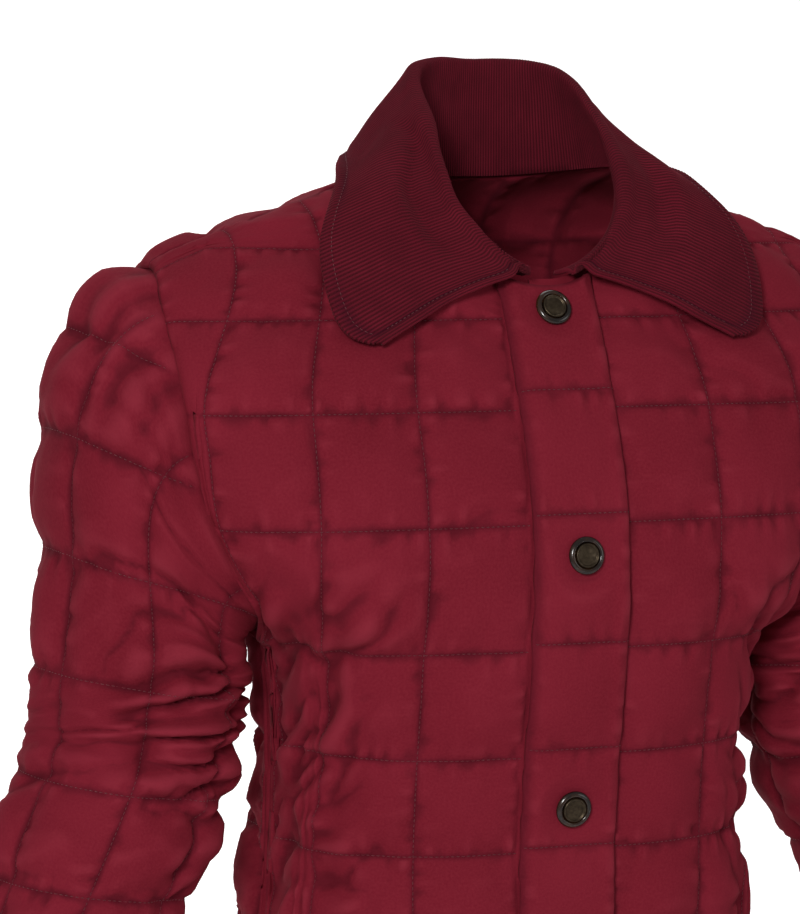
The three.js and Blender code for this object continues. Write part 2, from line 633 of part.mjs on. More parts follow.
function snapMeshes(number, height, placket) {
  const row = placket.outer.findIndex((points) => points[1].z < height);
  const [above, below] = [row - 1, row].map((r) => placket.outer[r][1].clone().lerp(placket.outer[r][2], 0.5));
  const point = above.clone().lerp(below, (above.z - height) / (above.z - below.z));
  const normal = vector(0, below.z - above.z, above.y - below.y).normalize();
  let proud = 0;
  for (const other of placket.outer.slice(row - 2, row + 2).flat()) {
    const away = other.clone().sub(point);
    const onSeat = Math.min(1, SNAP_RADIUS / away.length());
    proud = Math.max(proud, away.dot(normal) * onSeat);
  }
  const group = new THREE.Group();
  group.position.copy(point.addScaledVector(normal, proud + 0.3));
  group.quaternion.setFromUnitVectors(vector(0, 1, 0), normal);
  const turned = (profile) => new THREE.LatheGeometry(profile.map(([r, y]) => new THREE.Vector2(r, y)), 16);
  const horn = new THREE.MeshStandardMaterial({ color: SNAP_RIM_COLOUR, roughness: 0.25, metalness: 0 });
  const metal = new THREE.MeshStandardMaterial({ color: SNAP_CAP_COLOUR, roughness: 0.4, metalness: 0.9 });
  group.add(namedMesh(`snap_rim_${number}`, turned(SNAP_RIM_PROFILE), horn));
  group.add(namedMesh(`snap_cap_${number}`, turned(SNAP_CAP_PROFILE), metal));
  return group;
}

const jacket = new THREE.Group();
jacket.add(frontPanel('front_right', -1));
jacket.add(frontPanel('front_left', 1));
jacket.add(backPanel());
jacket.add(placketMesh());
jacket.add(sleeveMesh('sleeve_right', -1));
jacket.add(sleeveMesh('sleeve_left', 1));
jacket.add(collarMesh());
const placket = placketGrids();
SNAP_HEIGHTS.forEach((height, i) => jacket.add(snapMeshes(i + 1, height, placket)));

export default jacket;
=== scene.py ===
# A box-quilted jacket in peached cloth, with a corduroy collar and press snaps, shown as it is worn.
# Lengths in the shape functions are millimetres; they become metres where a mesh is made.
import math

import bmesh
import bpy
import numpy as np
from mathutils import Matrix, Vector


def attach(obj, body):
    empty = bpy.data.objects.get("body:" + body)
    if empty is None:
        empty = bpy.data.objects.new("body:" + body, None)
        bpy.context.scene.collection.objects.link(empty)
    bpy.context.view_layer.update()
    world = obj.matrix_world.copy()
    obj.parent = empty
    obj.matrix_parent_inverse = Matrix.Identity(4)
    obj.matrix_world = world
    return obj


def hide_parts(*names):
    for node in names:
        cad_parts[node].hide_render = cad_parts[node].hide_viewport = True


bl_info = {
    "name": "Quilted jacket",
    "version": (1, 0, 0),
    "blender": (4, 5, 0),
    "location": "View3D > Sidebar > Jacket",
    "description": "Builds a box-quilted jacket with a corduroy collar, and the studio round it",
    "category": "Add Mesh",
}

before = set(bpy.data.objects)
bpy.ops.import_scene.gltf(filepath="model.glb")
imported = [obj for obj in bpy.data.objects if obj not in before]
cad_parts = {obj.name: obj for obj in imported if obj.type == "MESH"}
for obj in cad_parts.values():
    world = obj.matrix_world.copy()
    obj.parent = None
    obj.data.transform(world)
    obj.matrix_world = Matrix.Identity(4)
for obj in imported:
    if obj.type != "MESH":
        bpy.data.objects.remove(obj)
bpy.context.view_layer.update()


def linear(code):
    """A linear colour from an sRGB hex code."""
    values = [int(code[k:k + 2], 16) / 255 for k in (1, 3, 5)]
    return [v / 12.92 if v <= 0.04045 else ((v + 0.055) / 1.055) ** 2.4 for v in values] + [1.0]


# Driving sizes of the body
NECK_HALF_WIDTH = 72.0
FRONT_NECK_DROP = 66.0
BACK_NECK_DROP = 8.0
SHOULDER_HALF_WIDTH = 218.0
SHOULDER_SLOPE = math.tan(math.radians(21.0))
SHOULDER_FORWARD = 14.0
CLOSING = {"front": 110.0, "back": 70.0}
UNDERARM_Z = -275.0
CHEST_Z = -139.0
SEAM_GAP = 0.4
CELL = 61.0
STEPS = 3
ROW_SQUEEZE = 5.0
LINE_GAP = 7.0
PLACKET_HALF_WIDTH = 29.6
PLACKET_LIFT = 4.2
PLACKET_TOP_DROP = 6.0
ROW_LINES = [-48, -88, -139, -203, -275, -338, -395, -457, -519, -581, -643, -705, -740]
STRIP_ROW_LINES = [-130, -198, -270, -332, -391, -453, -515, -577, -639, -701, -740]
FRONT_LINES = [30, 91, 152, 213]
BACK_LINES = [30.5, 91.5, 152.5, 213.5]
SNAP_HEIGHTS = [-81, -220, -369, -514, -659]

# Height, half width, depth in front of and behind the side, squareness
SECTIONS = np.array([
    (0, 262, 46, 95, 4), (-60, 250, 67, 100, 4), (-120, 229, 97, 106, 3.8),
    (-160, 221, 113, 105, 3.5), (-203, 215, 125, 104, 3.1), (-240, 193, 127, 101, 2.9),
    (-275, 150, 124, 98, 2.8), (-300, 144, 121, 96, 2.8), (-338, 142, 114, 94, 2.8),
    (-395, 143, 107, 97, 2.8), (-457, 149, 108, 106, 2.7), (-560, 168, 116, 124, 2.6),
    (-740, 192, 130, 142, 2.5),
])
SECTION_COLUMN = {"half": 1, "front": 2, "back": 3, "power": 4}

# Height, and how far out the armhole's edge is
ARMHOLE = np.array([
    (-56, 218), (-80, 221), (-120, 217), (-160, 212), (-203, 202), (-240, 182), (-275, 150),
])

# Sleeve rings below the armhole: number, centre x y z, half size across, half size front to back
SLEEVE = np.array([
    (0, 225, -2, -302, 58, 63), (1, 235, -6, -350, 55, 60), (2, 271, -14, -430, 52, 55),
    (3, 311, -24, -518, 47, 50), (4, 350, -36, -606, 43, 46),
])
SLEEVE_CELLS_AROUND = 7
SLEEVE_CELLS_HEAD = 3
SLEEVE_CELLS_BELOW = 6
SLEEVE_TUCK = 9.0
SLEEVE_START = -5.0

# The collar from the middle of the back to its end in front: share, roll line x y z, free edge x y z
COLLAR = np.array([
    (0, 0, 40, 64, 0, 66, -26), (0.14, 30, 30, 63, 52, 60, -14), (0.28, 47, 6, 55, 84, 36, 3),
    (0.42, 52, -22, 34, 103, -6, -5), (0.56, 54, -50, 8, 120, -44, -17),
    (0.7, 51, -68, -18, 136, -66, -44), (0.85, 37, -80, -40, 136, -86, -78),
    (0.95, 22, -84, -53, 127, -92, -97), (1, 14, -86, -57, 110, -96, -99),
])
COLLAR_ROLL_RADIUS = 5.0


def clamp(value, low, high):
    return min(max(value, low), high)


def lerp(a, b, share):
    return a + (b - a) * share


def smoothstep(value, low, high):
    t = clamp((value - low) / (high - low), 0.0, 1.0)
    return t * t * (3 - 2 * t)


def table_at(table, column, at):
    """The value of a column of a table at a key, on a smooth curve through its rows."""
    keys = table[:, 0]
    rising = keys[-1] > keys[0]
    at = clamp(at, min(keys[0], keys[-1]), max(keys[0], keys[-1]))
    i = 0
    while i < len(keys) - 2 and (at > keys[i + 1] if rising else at < keys[i + 1]):
        i += 1

    def slope(k):
        before, after = max(k - 1, 0), min(k + 1, len(keys) - 1)
        return (table[after, column] - table[before, column]) / (keys[after] - keys[before])

    span = keys[i + 1] - keys[i]
    t = (at - keys[i]) / span
    start = (1 + 2 * t) * (1 - t) ** 2 * table[i, column]
    end = t * t * (3 - 2 * t) * table[i + 1, column]
    return start + t * (1 - t) ** 2 * span * slope(i) + end + t * t * (t - 1) * span * slope(i + 1)


def section(name, z):
    return table_at(SECTIONS, SECTION_COLUMN[name], z)


def ridge_height(x):
    if x > NECK_HALF_WIDTH:
        return -(x - NECK_HALF_WIDTH) * SHOULDER_SLOPE
    return (NECK_HALF_WIDTH - x) * 0.1


def ridge_y(x):
    share = clamp((x - NECK_HALF_WIDTH) / (SHOULDER_HALF_WIDTH - NECK_HALF_WIDTH), 0.0, 1.0)
    return -SHOULDER_FORWARD * (1 - share)


def wall_y(side, x, z):
    """How far the wall stands in front of or behind the shoulder ridge, at a point of the front view."""
    power = section("power", z)
    below = clamp((ridge_height(x) - z) / CLOSING[side], 0.0, 1.0)
    close = math.sqrt(1 - (1 - below) ** 2)
    across = clamp(x / section("half", z), 0.0, 1.0)
    full = section(side, z) * (1 - across ** power) ** (1 / power)
    ridge = ridge_y(x) * (1 - smoothstep(below, 0, 1))
    return ridge + (-1 if side == "front" else 1) * full * close


SECTION_SAMPLES = 80
section_lines = {}


def section_line(side, z):
    """A section at one height from the middle to the side, as x values and arc lengths."""
    key = (side, round(z, 3))
    if key not in section_lines:
        shares = (np.arange(SECTION_SAMPLES + 1) / SECTION_SAMPLES) ** 0.8
        x = section("half", z) * np.sin(math.pi / 2 * shares)
        y = np.array([wall_y(side, value, z) for value in x])
        arc = np.concatenate([[0.0], np.cumsum(np.hypot(np.diff(x), np.diff(y)))])
        section_lines[key] = (x, arc)
    return section_lines[key]


def edge_x(z):
    """The armhole's or side seam's distance out at a height."""
    return table_at(ARMHOLE, 1, z) if z > UNDERARM_Z else section("half", z)


SHOULDER_END_Z = ridge_height(SHOULDER_HALF_WIDTH)


def column_x(side, arc, z):
    """A quilt column's distance out: a fixed arc below the chest, drawn in towards the shoulder."""
    edge = edge_x(min(z, SHOULDER_END_Z))
    if z > CHEST_Z:
        x, arcs = section_line(side, CHEST_Z)
        return min(np.interp(arc, arcs, x) * (1 - 0.16 * smoothstep(z, CHEST_Z, -40)), edge - LINE_GAP)
    x, arcs = section_line(side, z)
    return float(np.interp(min(arc, np.interp(edge, x, arcs) - LINE_GAP), arcs, x))


def top_height(side, x):
    if x >= NECK_HALF_WIDTH:
        return ridge_height(x)
    share = clamp(1 - (x / NECK_HALF_WIDTH) ** 2.2, 0.0, 1.0)
    return -FRONT_NECK_DROP * share ** 0.75 if side == "front" else -BACK_NECK_DROP * share


def column_places(side, lines):
    """A function of height for each column of a panel's coarse grid; the last cell ends at the edge."""
    def between(low, high, share):
        def place(z):
            edge = edge_x(min(z, SHOULDER_END_Z))
            to = edge if high is None else column_x(side, high, z)
            return lerp(column_x(side, low, z), to, share)
        return place

    places = []
    for i, low in enumerate(lines):
        high = lines[i + 1] if i + 1 < len(lines) else None
        places += [between(low, high, step / STEPS) for step in range(STEPS)]
    return places + [lambda z: edge_x(min(z, SHOULDER_END_Z))]


def column_heights(side, place, row_lines, top_drop):
    """The heights of one column's points, from the neck or shoulder to the hem."""
    top = SHOULDER_END_Z
    for _ in range(12):
        top = top_height(side, abs(place(top)))
    top -= top_drop
    lines = [top] + [min(line, top - ROW_SQUEEZE * (i + 1)) for i, line in enumerate(row_lines)]
    heights = []
    for low, high in zip(lines[:-1], lines[1:]):
        heights += [lerp(low, high, step / STEPS) for step in range(STEPS)]
    return heights + [lines[-1]]


def panel_grid(side, places, sign, row_lines=ROW_LINES, top_drop=0.0):
    """A panel's coarse points as an array of rows, columns and coordinates."""
    columns = []
    for place in places:
        heights = column_heights(side, place, row_lines, top_drop)
        xs = [place(z) for z in heights]
        columns.append([(sign * x, wall_y(side, abs(x), z), z) for x, z in zip(xs, heights)])
    grid = np.array(columns).transpose(1, 0, 2)
    away = -SEAM_GAP / 2 if side == "front" else SEAM_GAP / 2
    ridge = np.array([[ridge_y(abs(x)) for x in row] for row in grid[:, :, 0]])
    on_seam = (abs(grid[:, :, 1] - ridge) < 0.05) | (abs(grid[:, :, 1]) < 0.05)
    grid[:, :, 1] += away * on_seam
    return grid


def refine(grid, axis, parts, closed=False):
    """Puts more points along one axis of a grid, on a smooth curve through the given ones."""
    grid = np.moveaxis(grid, axis, 0)
    if closed:
        padded = np.concatenate([grid[-1:], grid, grid[:2]])
        count = len(grid) * parts
    else:
        padded = np.concatenate([2 * grid[:1] - grid[1:2], grid, 2 * grid[-1:] - grid[-2:-1]])
        count = (len(grid) - 1) * parts + 1
    at = np.arange(count) / parts
    low = np.minimum(at.astype(int), len(padded) - 4)
    t = (at - low).reshape((-1,) + (1,) * (grid.ndim - 1))
    p = [padded[low + k] for k in range(4)]
    fine = 0.5 * (2 * p[1] + (p[2] - p[0]) * t + (2 * p[0] - 5 * p[1] + 4 * p[2] - p[3]) * t ** 2
                  + (3 * (p[1] - p[2]) + p[3] - p[0]) * t ** 3)
    return np.moveaxis(fine, 0, axis)


def grid_normals(grid, closed=False):
    """Unit normals of a grid: the direction along its rows crossed with the one down its columns."""
    if closed:
        across = np.roll(grid, -1, axis=1) - np.roll(grid, 1, axis=1)
    else:
        across = np.gradient(grid, axis=1)
    return unit(np.cross(across, np.gradient(grid, axis=0)))


def running_length(path):
    """The length along a line of points at each of them."""
    return np.concatenate([[0.0], np.cumsum(np.linalg.norm(np.diff(path, axis=0), axis=1))])


def grid_length(grid, axis):
    """The length along one axis of a grid at each point."""
    first = np.take(grid, [0], axis=axis)
    return np.cumsum(np.linalg.norm(np.diff(grid, axis=axis, prepend=first), axis=2), axis=axis)


def points_at(at, arc, path):
    """The points of a line at some lengths along it."""
    return np.stack([np.interp(at, arc, path[:, k]) for k in range(3)], axis=1)


def unit(vectors):
    return vectors / np.maximum(np.linalg.norm(vectors, axis=-1, keepdims=True), 1e-9)


def bell(distance, width):
    """One at no distance, falling softly to nothing past the width."""
    return np.exp(-(distance / width) ** 2)


# Soft noise over a surface, seeded so that it is the same each time

def noise(x, y, size, seed, wrap=None):
    """Smooth noise from -1 to 1 with bumps of about the given size; wrap is the length it repeats in x."""
    gx, gy = np.asarray(x) / size, np.asarray(y) / size
    x0, y0 = np.floor(gx).astype(int), np.floor(gy).astype(int)
    tx, ty = gx - x0, gy - y0
    tx, ty = tx * tx * (3 - 2 * tx), ty * ty * (3 - 2 * ty)
    table = np.random.default_rng(seed).uniform(-1, 1, (256, 256))
    period = 256 if wrap is None else max(1, int(round(wrap / size)))

    def at(i, j):
        return table[(x0 + i) % period % 256, (y0 + j) % 256]

    upper = at(0, 0) * (1 - tx) + at(1, 0) * tx
    lower = at(0, 1) * (1 - tx) + at(1, 1) * tx
    return upper * (1 - ty) + lower * ty


def fold_height(folds, a, b, seed):
    """Soft uneven troughs and ridges, each along a bent line: from, to, bend, width and depth."""
    height = np.zeros_like(a)
    for i, (a0, b0, a1, b1, bend, width, depth) in enumerate(folds):
        da, db = a1 - a0, b1 - b0
        length = math.hypot(da, db)
        along = ((a - a0) * da + (b - b0) * db) / length ** 2
        inside = np.clip(along, 0, 1)
        across = ((a - a0) * db - (b - b0) * da) / length - bend * np.sin(math.pi * inside)
        across = across + 2.0 * noise(along * length, across, 17, seed + i)
        beyond = (along - inside) * length
        wide = width * (0.75 + 0.35 * np.sin(math.pi * inside))
        away = (across ** 2 + beyond ** 2) / wide ** 2
        ends = np.sin(math.pi * np.clip(along, 0.03, 0.97)) ** 0.6
        uneven = 1 + 0.3 * noise(along * length, np.zeros_like(a), 24, seed + 50 + i)
        height += depth * np.exp(-away) * ends * uneven
    return height


# Quilting: how the cells differ in puff and tilt, how far they sag and how square they puff
CELL_TABLE = (40, 40)
PUFF_RANGE = (0.72, 1.12)
TILT_RANGE = (-0.35, 0.35)
CELL_SAG = 1.18
DOME_POWER = 2.3

# Puckers by the stitch lines in millimetres, and how far apart two lines lie in their noise
PUCKER_SIZE = 5.2
PUCKER_REACH = 9.0
PUCKER_DEPTH = 2.1
SINK_WIDTH = 1.6
LINES_APART = 97.0
GROOVE_SHADE_WIDTH = 1.7


def quilting(u, v, full, seed, cell_width=CELL, cell_height=CELL, wrap=None):
    """The puff and the puckers over cell coordinates u and v, and the distance to the nearest stitches."""
    random = np.random.default_rng(seed)
    high = random.uniform(*PUFF_RANGE, CELL_TABLE)
    lean = random.uniform(*TILT_RANGE, CELL_TABLE)
    iu, iv = np.floor(u).astype(int), np.floor(v).astype(int)
    if wrap:
        iu = iu % wrap
    fu, fv = u - np.floor(u), v - np.floor(v)
    sagged = fv ** CELL_SAG
    dome = (1 - abs(2 * fu - 1) ** DOME_POWER) * (1 - abs(2 * sagged - 1) ** DOME_POWER)
    puffed = full * dome * (high[iu, iv] + lean[iu, iv] * (fu - 0.5))
    du = np.minimum(fu, 1 - fu) * cell_width
    dv = np.minimum(fv, 1 - fv) * cell_height
    mm_u, mm_v = u * cell_width, v * cell_height
    period = wrap * cell_width if wrap else None
    side_v = np.round(v) * 2 + (fv < 0.5)
    side_u = np.round(u) * 2 + (fu < 0.5)
    pucker_v = noise(mm_u, side_v * LINES_APART, PUCKER_SIZE, seed + 1, period) * bell(dv, PUCKER_REACH)
    pucker_u = noise(mm_v, side_u * LINES_APART, PUCKER_SIZE, seed + 2) * bell(du, PUCKER_REACH)
    near = np.minimum(du, dv)
    return puffed, PUCKER_DEPTH * (pucker_u + pucker_v) * (1 - bell(near, SINK_WIDTH)), near


def creases(a, b, lean, length, width, seed):
    """Long soft ridges with narrow valleys between them, running at an angle; from -1 to about 0.6."""
    along = a * math.cos(lean) + b * math.sin(lean)
    across = b * math.cos(lean) - a * math.sin(lean)
    across = across + 7 * noise(along, across, 34, seed + 1)
    field = noise(along * width / length, across, width, seed)
    field = field + 0.35 * noise(along * width / length * 2, across, width * 0.55, seed + 2)
    return np.clip(abs(field) * 1.7, 0, 1) ** 0.8 * 1.6 - 1


def rise(values, low, high):
    t = np.clip((values - low) / (high - low), 0, 1)
    return t * t * (3 - 2 * t)


def softness(a, b, seed, wrap=None):
    """The low unevenness of worn cloth in two sizes."""
    broad = noise(a, b, 46, seed, wrap) * 1.1 + noise(a, b, 21, seed + 1, wrap) * 0.7
    crease = 1 - abs(noise(a + 0.6 * b, b, 15, seed + 2, wrap)) * 3
    return broad + 0.45 * np.maximum(crease, 0) ** 2


# The relief mark paints the cloth lighter where it stands up, as a highlight, and darker in its hollows, as
# shade
FULL_RELIEF = 1.7


def relief(height, reach, closed=False):
    """How far each point stands above or lies below the cloth around it, from -1 to 1."""
    smooth = height
    for axis in (0, 1):
        around = [(reach, reach) if k == axis else (0, 0) for k in (0, 1)]
        padded = np.pad(smooth, around, mode="wrap" if closed and axis == 1 else "edge")
        total = np.cumsum(padded, axis=axis)
        total = np.concatenate([np.zeros_like(np.take(total, [0], axis=axis)), total], axis=axis)
        count = height.shape[axis]
        width = 2 * reach + 1
        upper = np.take(total, range(width, width + count), axis=axis)
        smooth = (upper - np.take(total, range(count), axis=axis)) / width
    return np.clip((height - smooth) / FULL_RELIEF, -1, 1)


# Building the pieces

MM = 0.001
FINE = 8


def grid_object(name, points, u_mm, v_mm, marks, outward, thickness=None, closed=False):
    """A cloth shell from an array of points in millimetres, with its pattern coordinates and marks."""
    if closed:
        points = np.concatenate([points, points[:, :1]], axis=1)
        u_mm = np.concatenate([u_mm, 2 * u_mm[:, -1:] - u_mm[:, -2:-1]], axis=1)
        v_mm = np.concatenate([v_mm, v_mm[:, :1]], axis=1)
        marks = {key: np.concatenate([value, value[:, :1]], axis=1) for key, value in marks.items()}
        outward = np.concatenate([outward, outward[:, :1]], axis=1)
    rows, columns = points.shape[:2]
    bm = bmesh.new()
    bmesh.ops.create_grid(bm, x_segments=columns - 1, y_segments=rows - 1, size=1.0)
    mesh = bpy.data.meshes.new(name)
    bm.to_mesh(mesh)
    bm.free()
    mesh.vertices.foreach_set("co", (points * MM).astype(np.float32).ravel())
    corners = np.zeros(len(mesh.loops), np.int32)
    mesh.loops.foreach_get("vertex_index", corners)
    layout = np.stack([u_mm, v_mm], axis=2).reshape(-1, 2) * MM
    uv = mesh.uv_layers.new(name="cloth_uv")
    uv.data.foreach_set("uv", layout[corners].astype(np.float32).ravel())
    for key, value in marks.items():
        mark = mesh.attributes.new(name=key, type="FLOAT", domain="POINT")
        mark.data.foreach_set("value", value.astype(np.float32).ravel())
    mesh.update()
    face = mesh.polygons[len(mesh.polygons) // 2]
    facing = sum(face.normal[k] * outward.reshape(-1, 3)[face.vertices[0]][k] for k in range(3))
    bm = bmesh.new()
    bm.from_mesh(mesh)
    if facing < 0:
        bmesh.ops.reverse_faces(bm, faces=bm.faces)
    if closed:
        bmesh.ops.remove_doubles(bm, verts=bm.verts, dist=1e-6)
    bm.to_mesh(mesh)
    bm.free()
    mesh.shade_smooth()
    piece = put_in_scene(name, mesh)
    wall = piece.modifiers.new("Cloth wall", "SOLIDIFY")
    wall.thickness = thickness or bpy.context.scene.jacket.cloth_thickness
    wall.offset = -1.0
    return piece


def put_in_scene(name, data):
    item = bpy.data.objects.new(name, data)
    bpy.context.scene.collection.objects.link(item)
    return item


def from_middle(grid, normals, middle):
    """The normals, all turned to point away from the middle points."""
    return normals if np.sum(normals * (grid - middle)) > 0 else -normals


def body_normals(grid):
    """The normals of a body panel, pointing away from a line down the middle of the jacket."""
    middle = grid * np.array([0.4, 0.0, 1.0]) - np.array([0.0, 0.0, 30.0])
    return from_middle(grid, grid_normals(grid), middle)


FULL_CELL = 42.0


def cell_scale(grid, per_cell):
    """The share of the full puff that the size of the cell allows at each point."""
    width = np.linalg.norm(np.gradient(grid, axis=1), axis=2) * per_cell
    height = np.linalg.norm(np.gradient(grid, axis=0), axis=2) * per_cell
    return np.minimum(1.0, np.minimum(width, height) / FULL_CELL)


def sample(grid, row, column, closed=False):
    """Points between a fine grid's points, at fractional rows and columns."""
    rows, columns = grid.shape[:2]
    row = np.clip(row, 0, rows - 1.001)
    r = row.astype(int)
    t = (row - r)[:, None]
    if closed:
        column = np.mod(column, columns)
        c = np.minimum(column.astype(int), columns - 1)
        after = (c + 1) % columns
    else:
        column = np.clip(column, 0, columns - 1.001)
        c = column.astype(int)
        after = c + 1
    s = (column - c)[:, None]
    upper = grid[r, c] * (1 - s) + grid[r, after] * s
    lower = grid[r + 1, c] * (1 - s) + grid[r + 1, after] * s
    return upper * (1 - t) + lower * t


STITCH_PITCH = 3.1
STITCH_HALF_LENGTH = 1.15
STITCH_HALF_WIDTH = 0.26
SMALLEST_ROOM = 0.42


def stitch_points(points, normals, lines, closed=False, room=None):
    """Centres, tangents and normals of stitches at an even pitch along lines over a fine grid."""
    centres, tangents, ups = [], [], []
    for row, column in lines:
        if room is not None:
            wide = sample(room[:, :, None], row, column)[:, 0] > SMALLEST_ROOM
            row, column = row[wide], column[wide]
            if len(row) < 4:
                continue
        path = sample(points, row, column, closed)
        up = sample(normals, row, column, closed)
        arc = running_length(path)
        if arc[-1] < 3 * STITCH_PITCH:
            continue
        at = np.arange(STITCH_PITCH, arc[-1] - STITCH_PITCH / 2, STITCH_PITCH)
        centres.append(points_at(at, arc, path))
        tangents.append(points_at(at + 1, arc, path) - points_at(at - 1, arc, path))
        ups.append(points_at(at, arc, up))
    return [np.concatenate(values) for values in (centres, tangents, ups)]


def stitches_object(name, places, material, lift):
    """All the stitches of a piece as one mesh of small spindles."""
    centres, tangents, ups = places
    along = unit(tangents)
    side = unit(np.cross(along, ups))
    up = np.cross(side, along)
    middle = centres + up * lift
    ring = [side * STITCH_HALF_WIDTH, up * STITCH_HALF_WIDTH, -side * STITCH_HALF_WIDTH,
            -up * STITCH_HALF_WIDTH]
    tips = [middle - along * STITCH_HALF_LENGTH, middle + along * STITCH_HALF_LENGTH]
    vertices = np.stack([*tips, *[middle + offset for offset in ring]], axis=1)
    template = [(0, 2 + (k + 1) % 4, 2 + k) for k in range(4)]
    template += [(1, 2 + k, 2 + (k + 1) % 4) for k in range(4)]
    first = np.arange(len(centres))[:, None, None] * 6
    faces = (first + np.array(template)[None]).reshape(-1, 3)
    mesh = bpy.data.meshes.new(name)
    mesh.from_pydata((vertices.reshape(-1, 3) * MM).tolist(), [], faces.tolist())
    mesh.shade_smooth()
    mesh.materials.append(material)
    piece = put_in_scene(name, mesh)
    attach(piece, "root")
    return piece


def straight_lines(rows, columns, row_lines, column_lines):
    """Lines over a grid, along its rows and down its columns, as fractional rows and columns."""
    across = np.arange(columns, dtype=float)
    down = np.arange(rows, dtype=float)
    lines = [(np.full(columns, float(row)), across) for row in row_lines]
    return lines + [(down, np.full(rows, float(column))) for column in column_lines]


def cell_stitches(points, normals, per_cell, first_column, scale):
    """The stitch lines of a box-quilted grid, without its outer edges and its smallest cells."""
    rows, columns = points.shape[:2]
    row_lines = range(per_cell, rows - 1, per_cell)
    column_lines = range(first_column + per_cell, columns - 1, per_cell)
    lines = straight_lines(rows, columns, row_lines, column_lines)
    return stitch_points(points, normals, lines, room=scale)


# Folds of the body: from and to, each as distance across and height, then bend, width and depth
FRONT_FOLDS_RIGHT = [
    (205, -262, 168, -392, 7, 11, -3.6), (226, -280, 196, -372, 5, 9, -3.4),
    (214, -330, 236, -430, -6, 10, -3.2), (188, -215, 160, -262, 3, 11, -2.6),
    (238, -296, 222, -350, 4, 8, -2.6), (233, -392, 203, -474, 6, 10, -3.0),
    (182, -404, 197, -462, 4, 9, -2.2), (216, -266, 184, -384, 6, 8, 2.2),
    (240, -336, 214, -402, -4, 8, 2.0), (238, -480, 206, -566, 6, 11, -2.8),
    (196, -596, 236, -690, 6, 12, -2.6), (150, -300, 176, -352, -4, 9, -1.6),
    (96, -640, 124, -724, 6, 15, -1.8),
]
FRONT_FOLDS_LEFT = [
    (207, -258, 172, -380, 6, 11, -3.4), (228, -276, 200, -380, 6, 10, -3.4),
    (216, -326, 238, -420, -5, 10, -3.0), (186, -210, 156, -268, 4, 10, -2.4),
    (234, -400, 206, -486, 7, 11, -2.8), (184, -410, 200, -456, 3, 9, -2.0),
    (218, -272, 190, -376, 5, 8, 2.0), (236, -500, 204, -590, 5, 12, -2.6),
    (190, -610, 232, -700, 7, 12, -2.4), (92, -628, 118, -716, 5, 14, -1.8),
]
BACK_FOLDS = [
    (50, -262, 96, -392, -7, 12, -3.4), (30, -280, 62, -372, -5, 10, -3.2),
    (44, -330, 20, -436, 5, 10, -3.0), (512, -266, 464, -390, 7, 12, -3.4),
    (530, -284, 498, -376, 5, 10, -3.0), (516, -336, 540, -428, -5, 10, -3.0),
    (170, -96, 196, -210, 6, 15, -2.0), (384, -92, 356, -214, -6, 15, -2.0),
    (120, -420, 160, -560, -8, 15, -2.4), (440, -430, 398, -566, 8, 15, -2.4),
    (256, -560, 300, -700, 8, 17, -2.0),
]
# Folds of the sleeve: from and to, each as distance round and down, then bend, width and depth
SLEEVE_FOLDS = [
    (8, 8, 160, 44, 6, 11, -4.0), (0, 46, 144, 62, -6, 11, -4.4), (20, 92, 152, 74, 6, 11, -4.0),
    (288, 30, 392, 56, 6, 11, -3.4), (26, -34, 128, 6, 7, 10, -3.6), (44, 26, 130, 50, 4, 7, 2.4),
    (30, 66, 118, 78, 4, 7, 2.2), (60, 112, 152, 130, -5, 10, -2.8), (6, 122, 92, 152, 5, 10, -2.8),
    (200, 18, 288, 56, 6, 12, -3.0), (226, 92, 318, 62, -6, 12, -2.8), (118, 172, 214, 192, 5, 12, -2.2),
    (16, 202, 118, 218, 5, 12, -2.6), (262, 168, 352, 196, 5, 12, -2.2), (2, 262, 96, 248, 5, 12, -2.2),
    (180, 262, 286, 280, -6, 13, -2.2), (70, -96, 112, -30, 7, 12, -2.6), (300, -96, 338, -28, 7, 12, -2.4),
    (140, -176, 134, -126, 3, 6, -3.6), (159, -177, 156, -112, 3, 6.5, -4.4),
    (178, -177, 177, -128, 3, 6, -3.8), (197, -178, 199, -108, -3, 6.5, -4.4),
    (216, -177, 221, -124, 3, 6, -3.8), (236, -176, 244, -118, 3, 6.5, -3.8),
    (169, -170, 167, -120, 2, 5, 2.2), (207, -170, 210, -118, 2, 5, 2.2),
]


BACK_WIDTH = 9 * CELL
SEAM_OVERLAP = 3.0


def under_the_seam(base, sides):
    """How far the side edges reach past the seam below the armhole, so that no slit is left there."""
    reach = np.zeros_like(base)
    below_arm = rise(-base[:, 0, 2], -UNDERARM_Z + 4, -UNDERARM_Z + 20)[:, None] * SEAM_OVERLAP
    for edge, inner in sides:
        reach[:, edge] = unit(base[:, edge] - base[:, inner]) * below_arm
    return reach


# Body panels in millimetres: the closed edge's height, the puff of the cells, and how the edges roll in
CLOSED_EDGE = 2.9
BODY_PUFF = 6.0
EDGE_CALM = 14.0
ROLL_WIDTH = 13.0
ROLL_DEPTH = 4.4
SHOULDER_ROLL_START = 5.0
NECK_UNROLLED = 40.0
SOFT_CRUMPLE = 1.2
LOOSENESS = 0.7
FOLD_STRENGTH = 1.5

# The crumples by the sides: depth, lean, length and width, how far in from the side they reach, and the
# depths below the shoulder between which they grow and fade
SIDE_CRUMPLE = 7.0
CRUMPLE_LEAN = 0.95
CRUMPLE_SIZE = (80, 22)
CRUMPLE_REACH = (-118, -66)
CRUMPLE_GROWS = (215, 262)
CRUMPLE_FADES = (420, 600)
CRUMPLE_FADING = 0.45


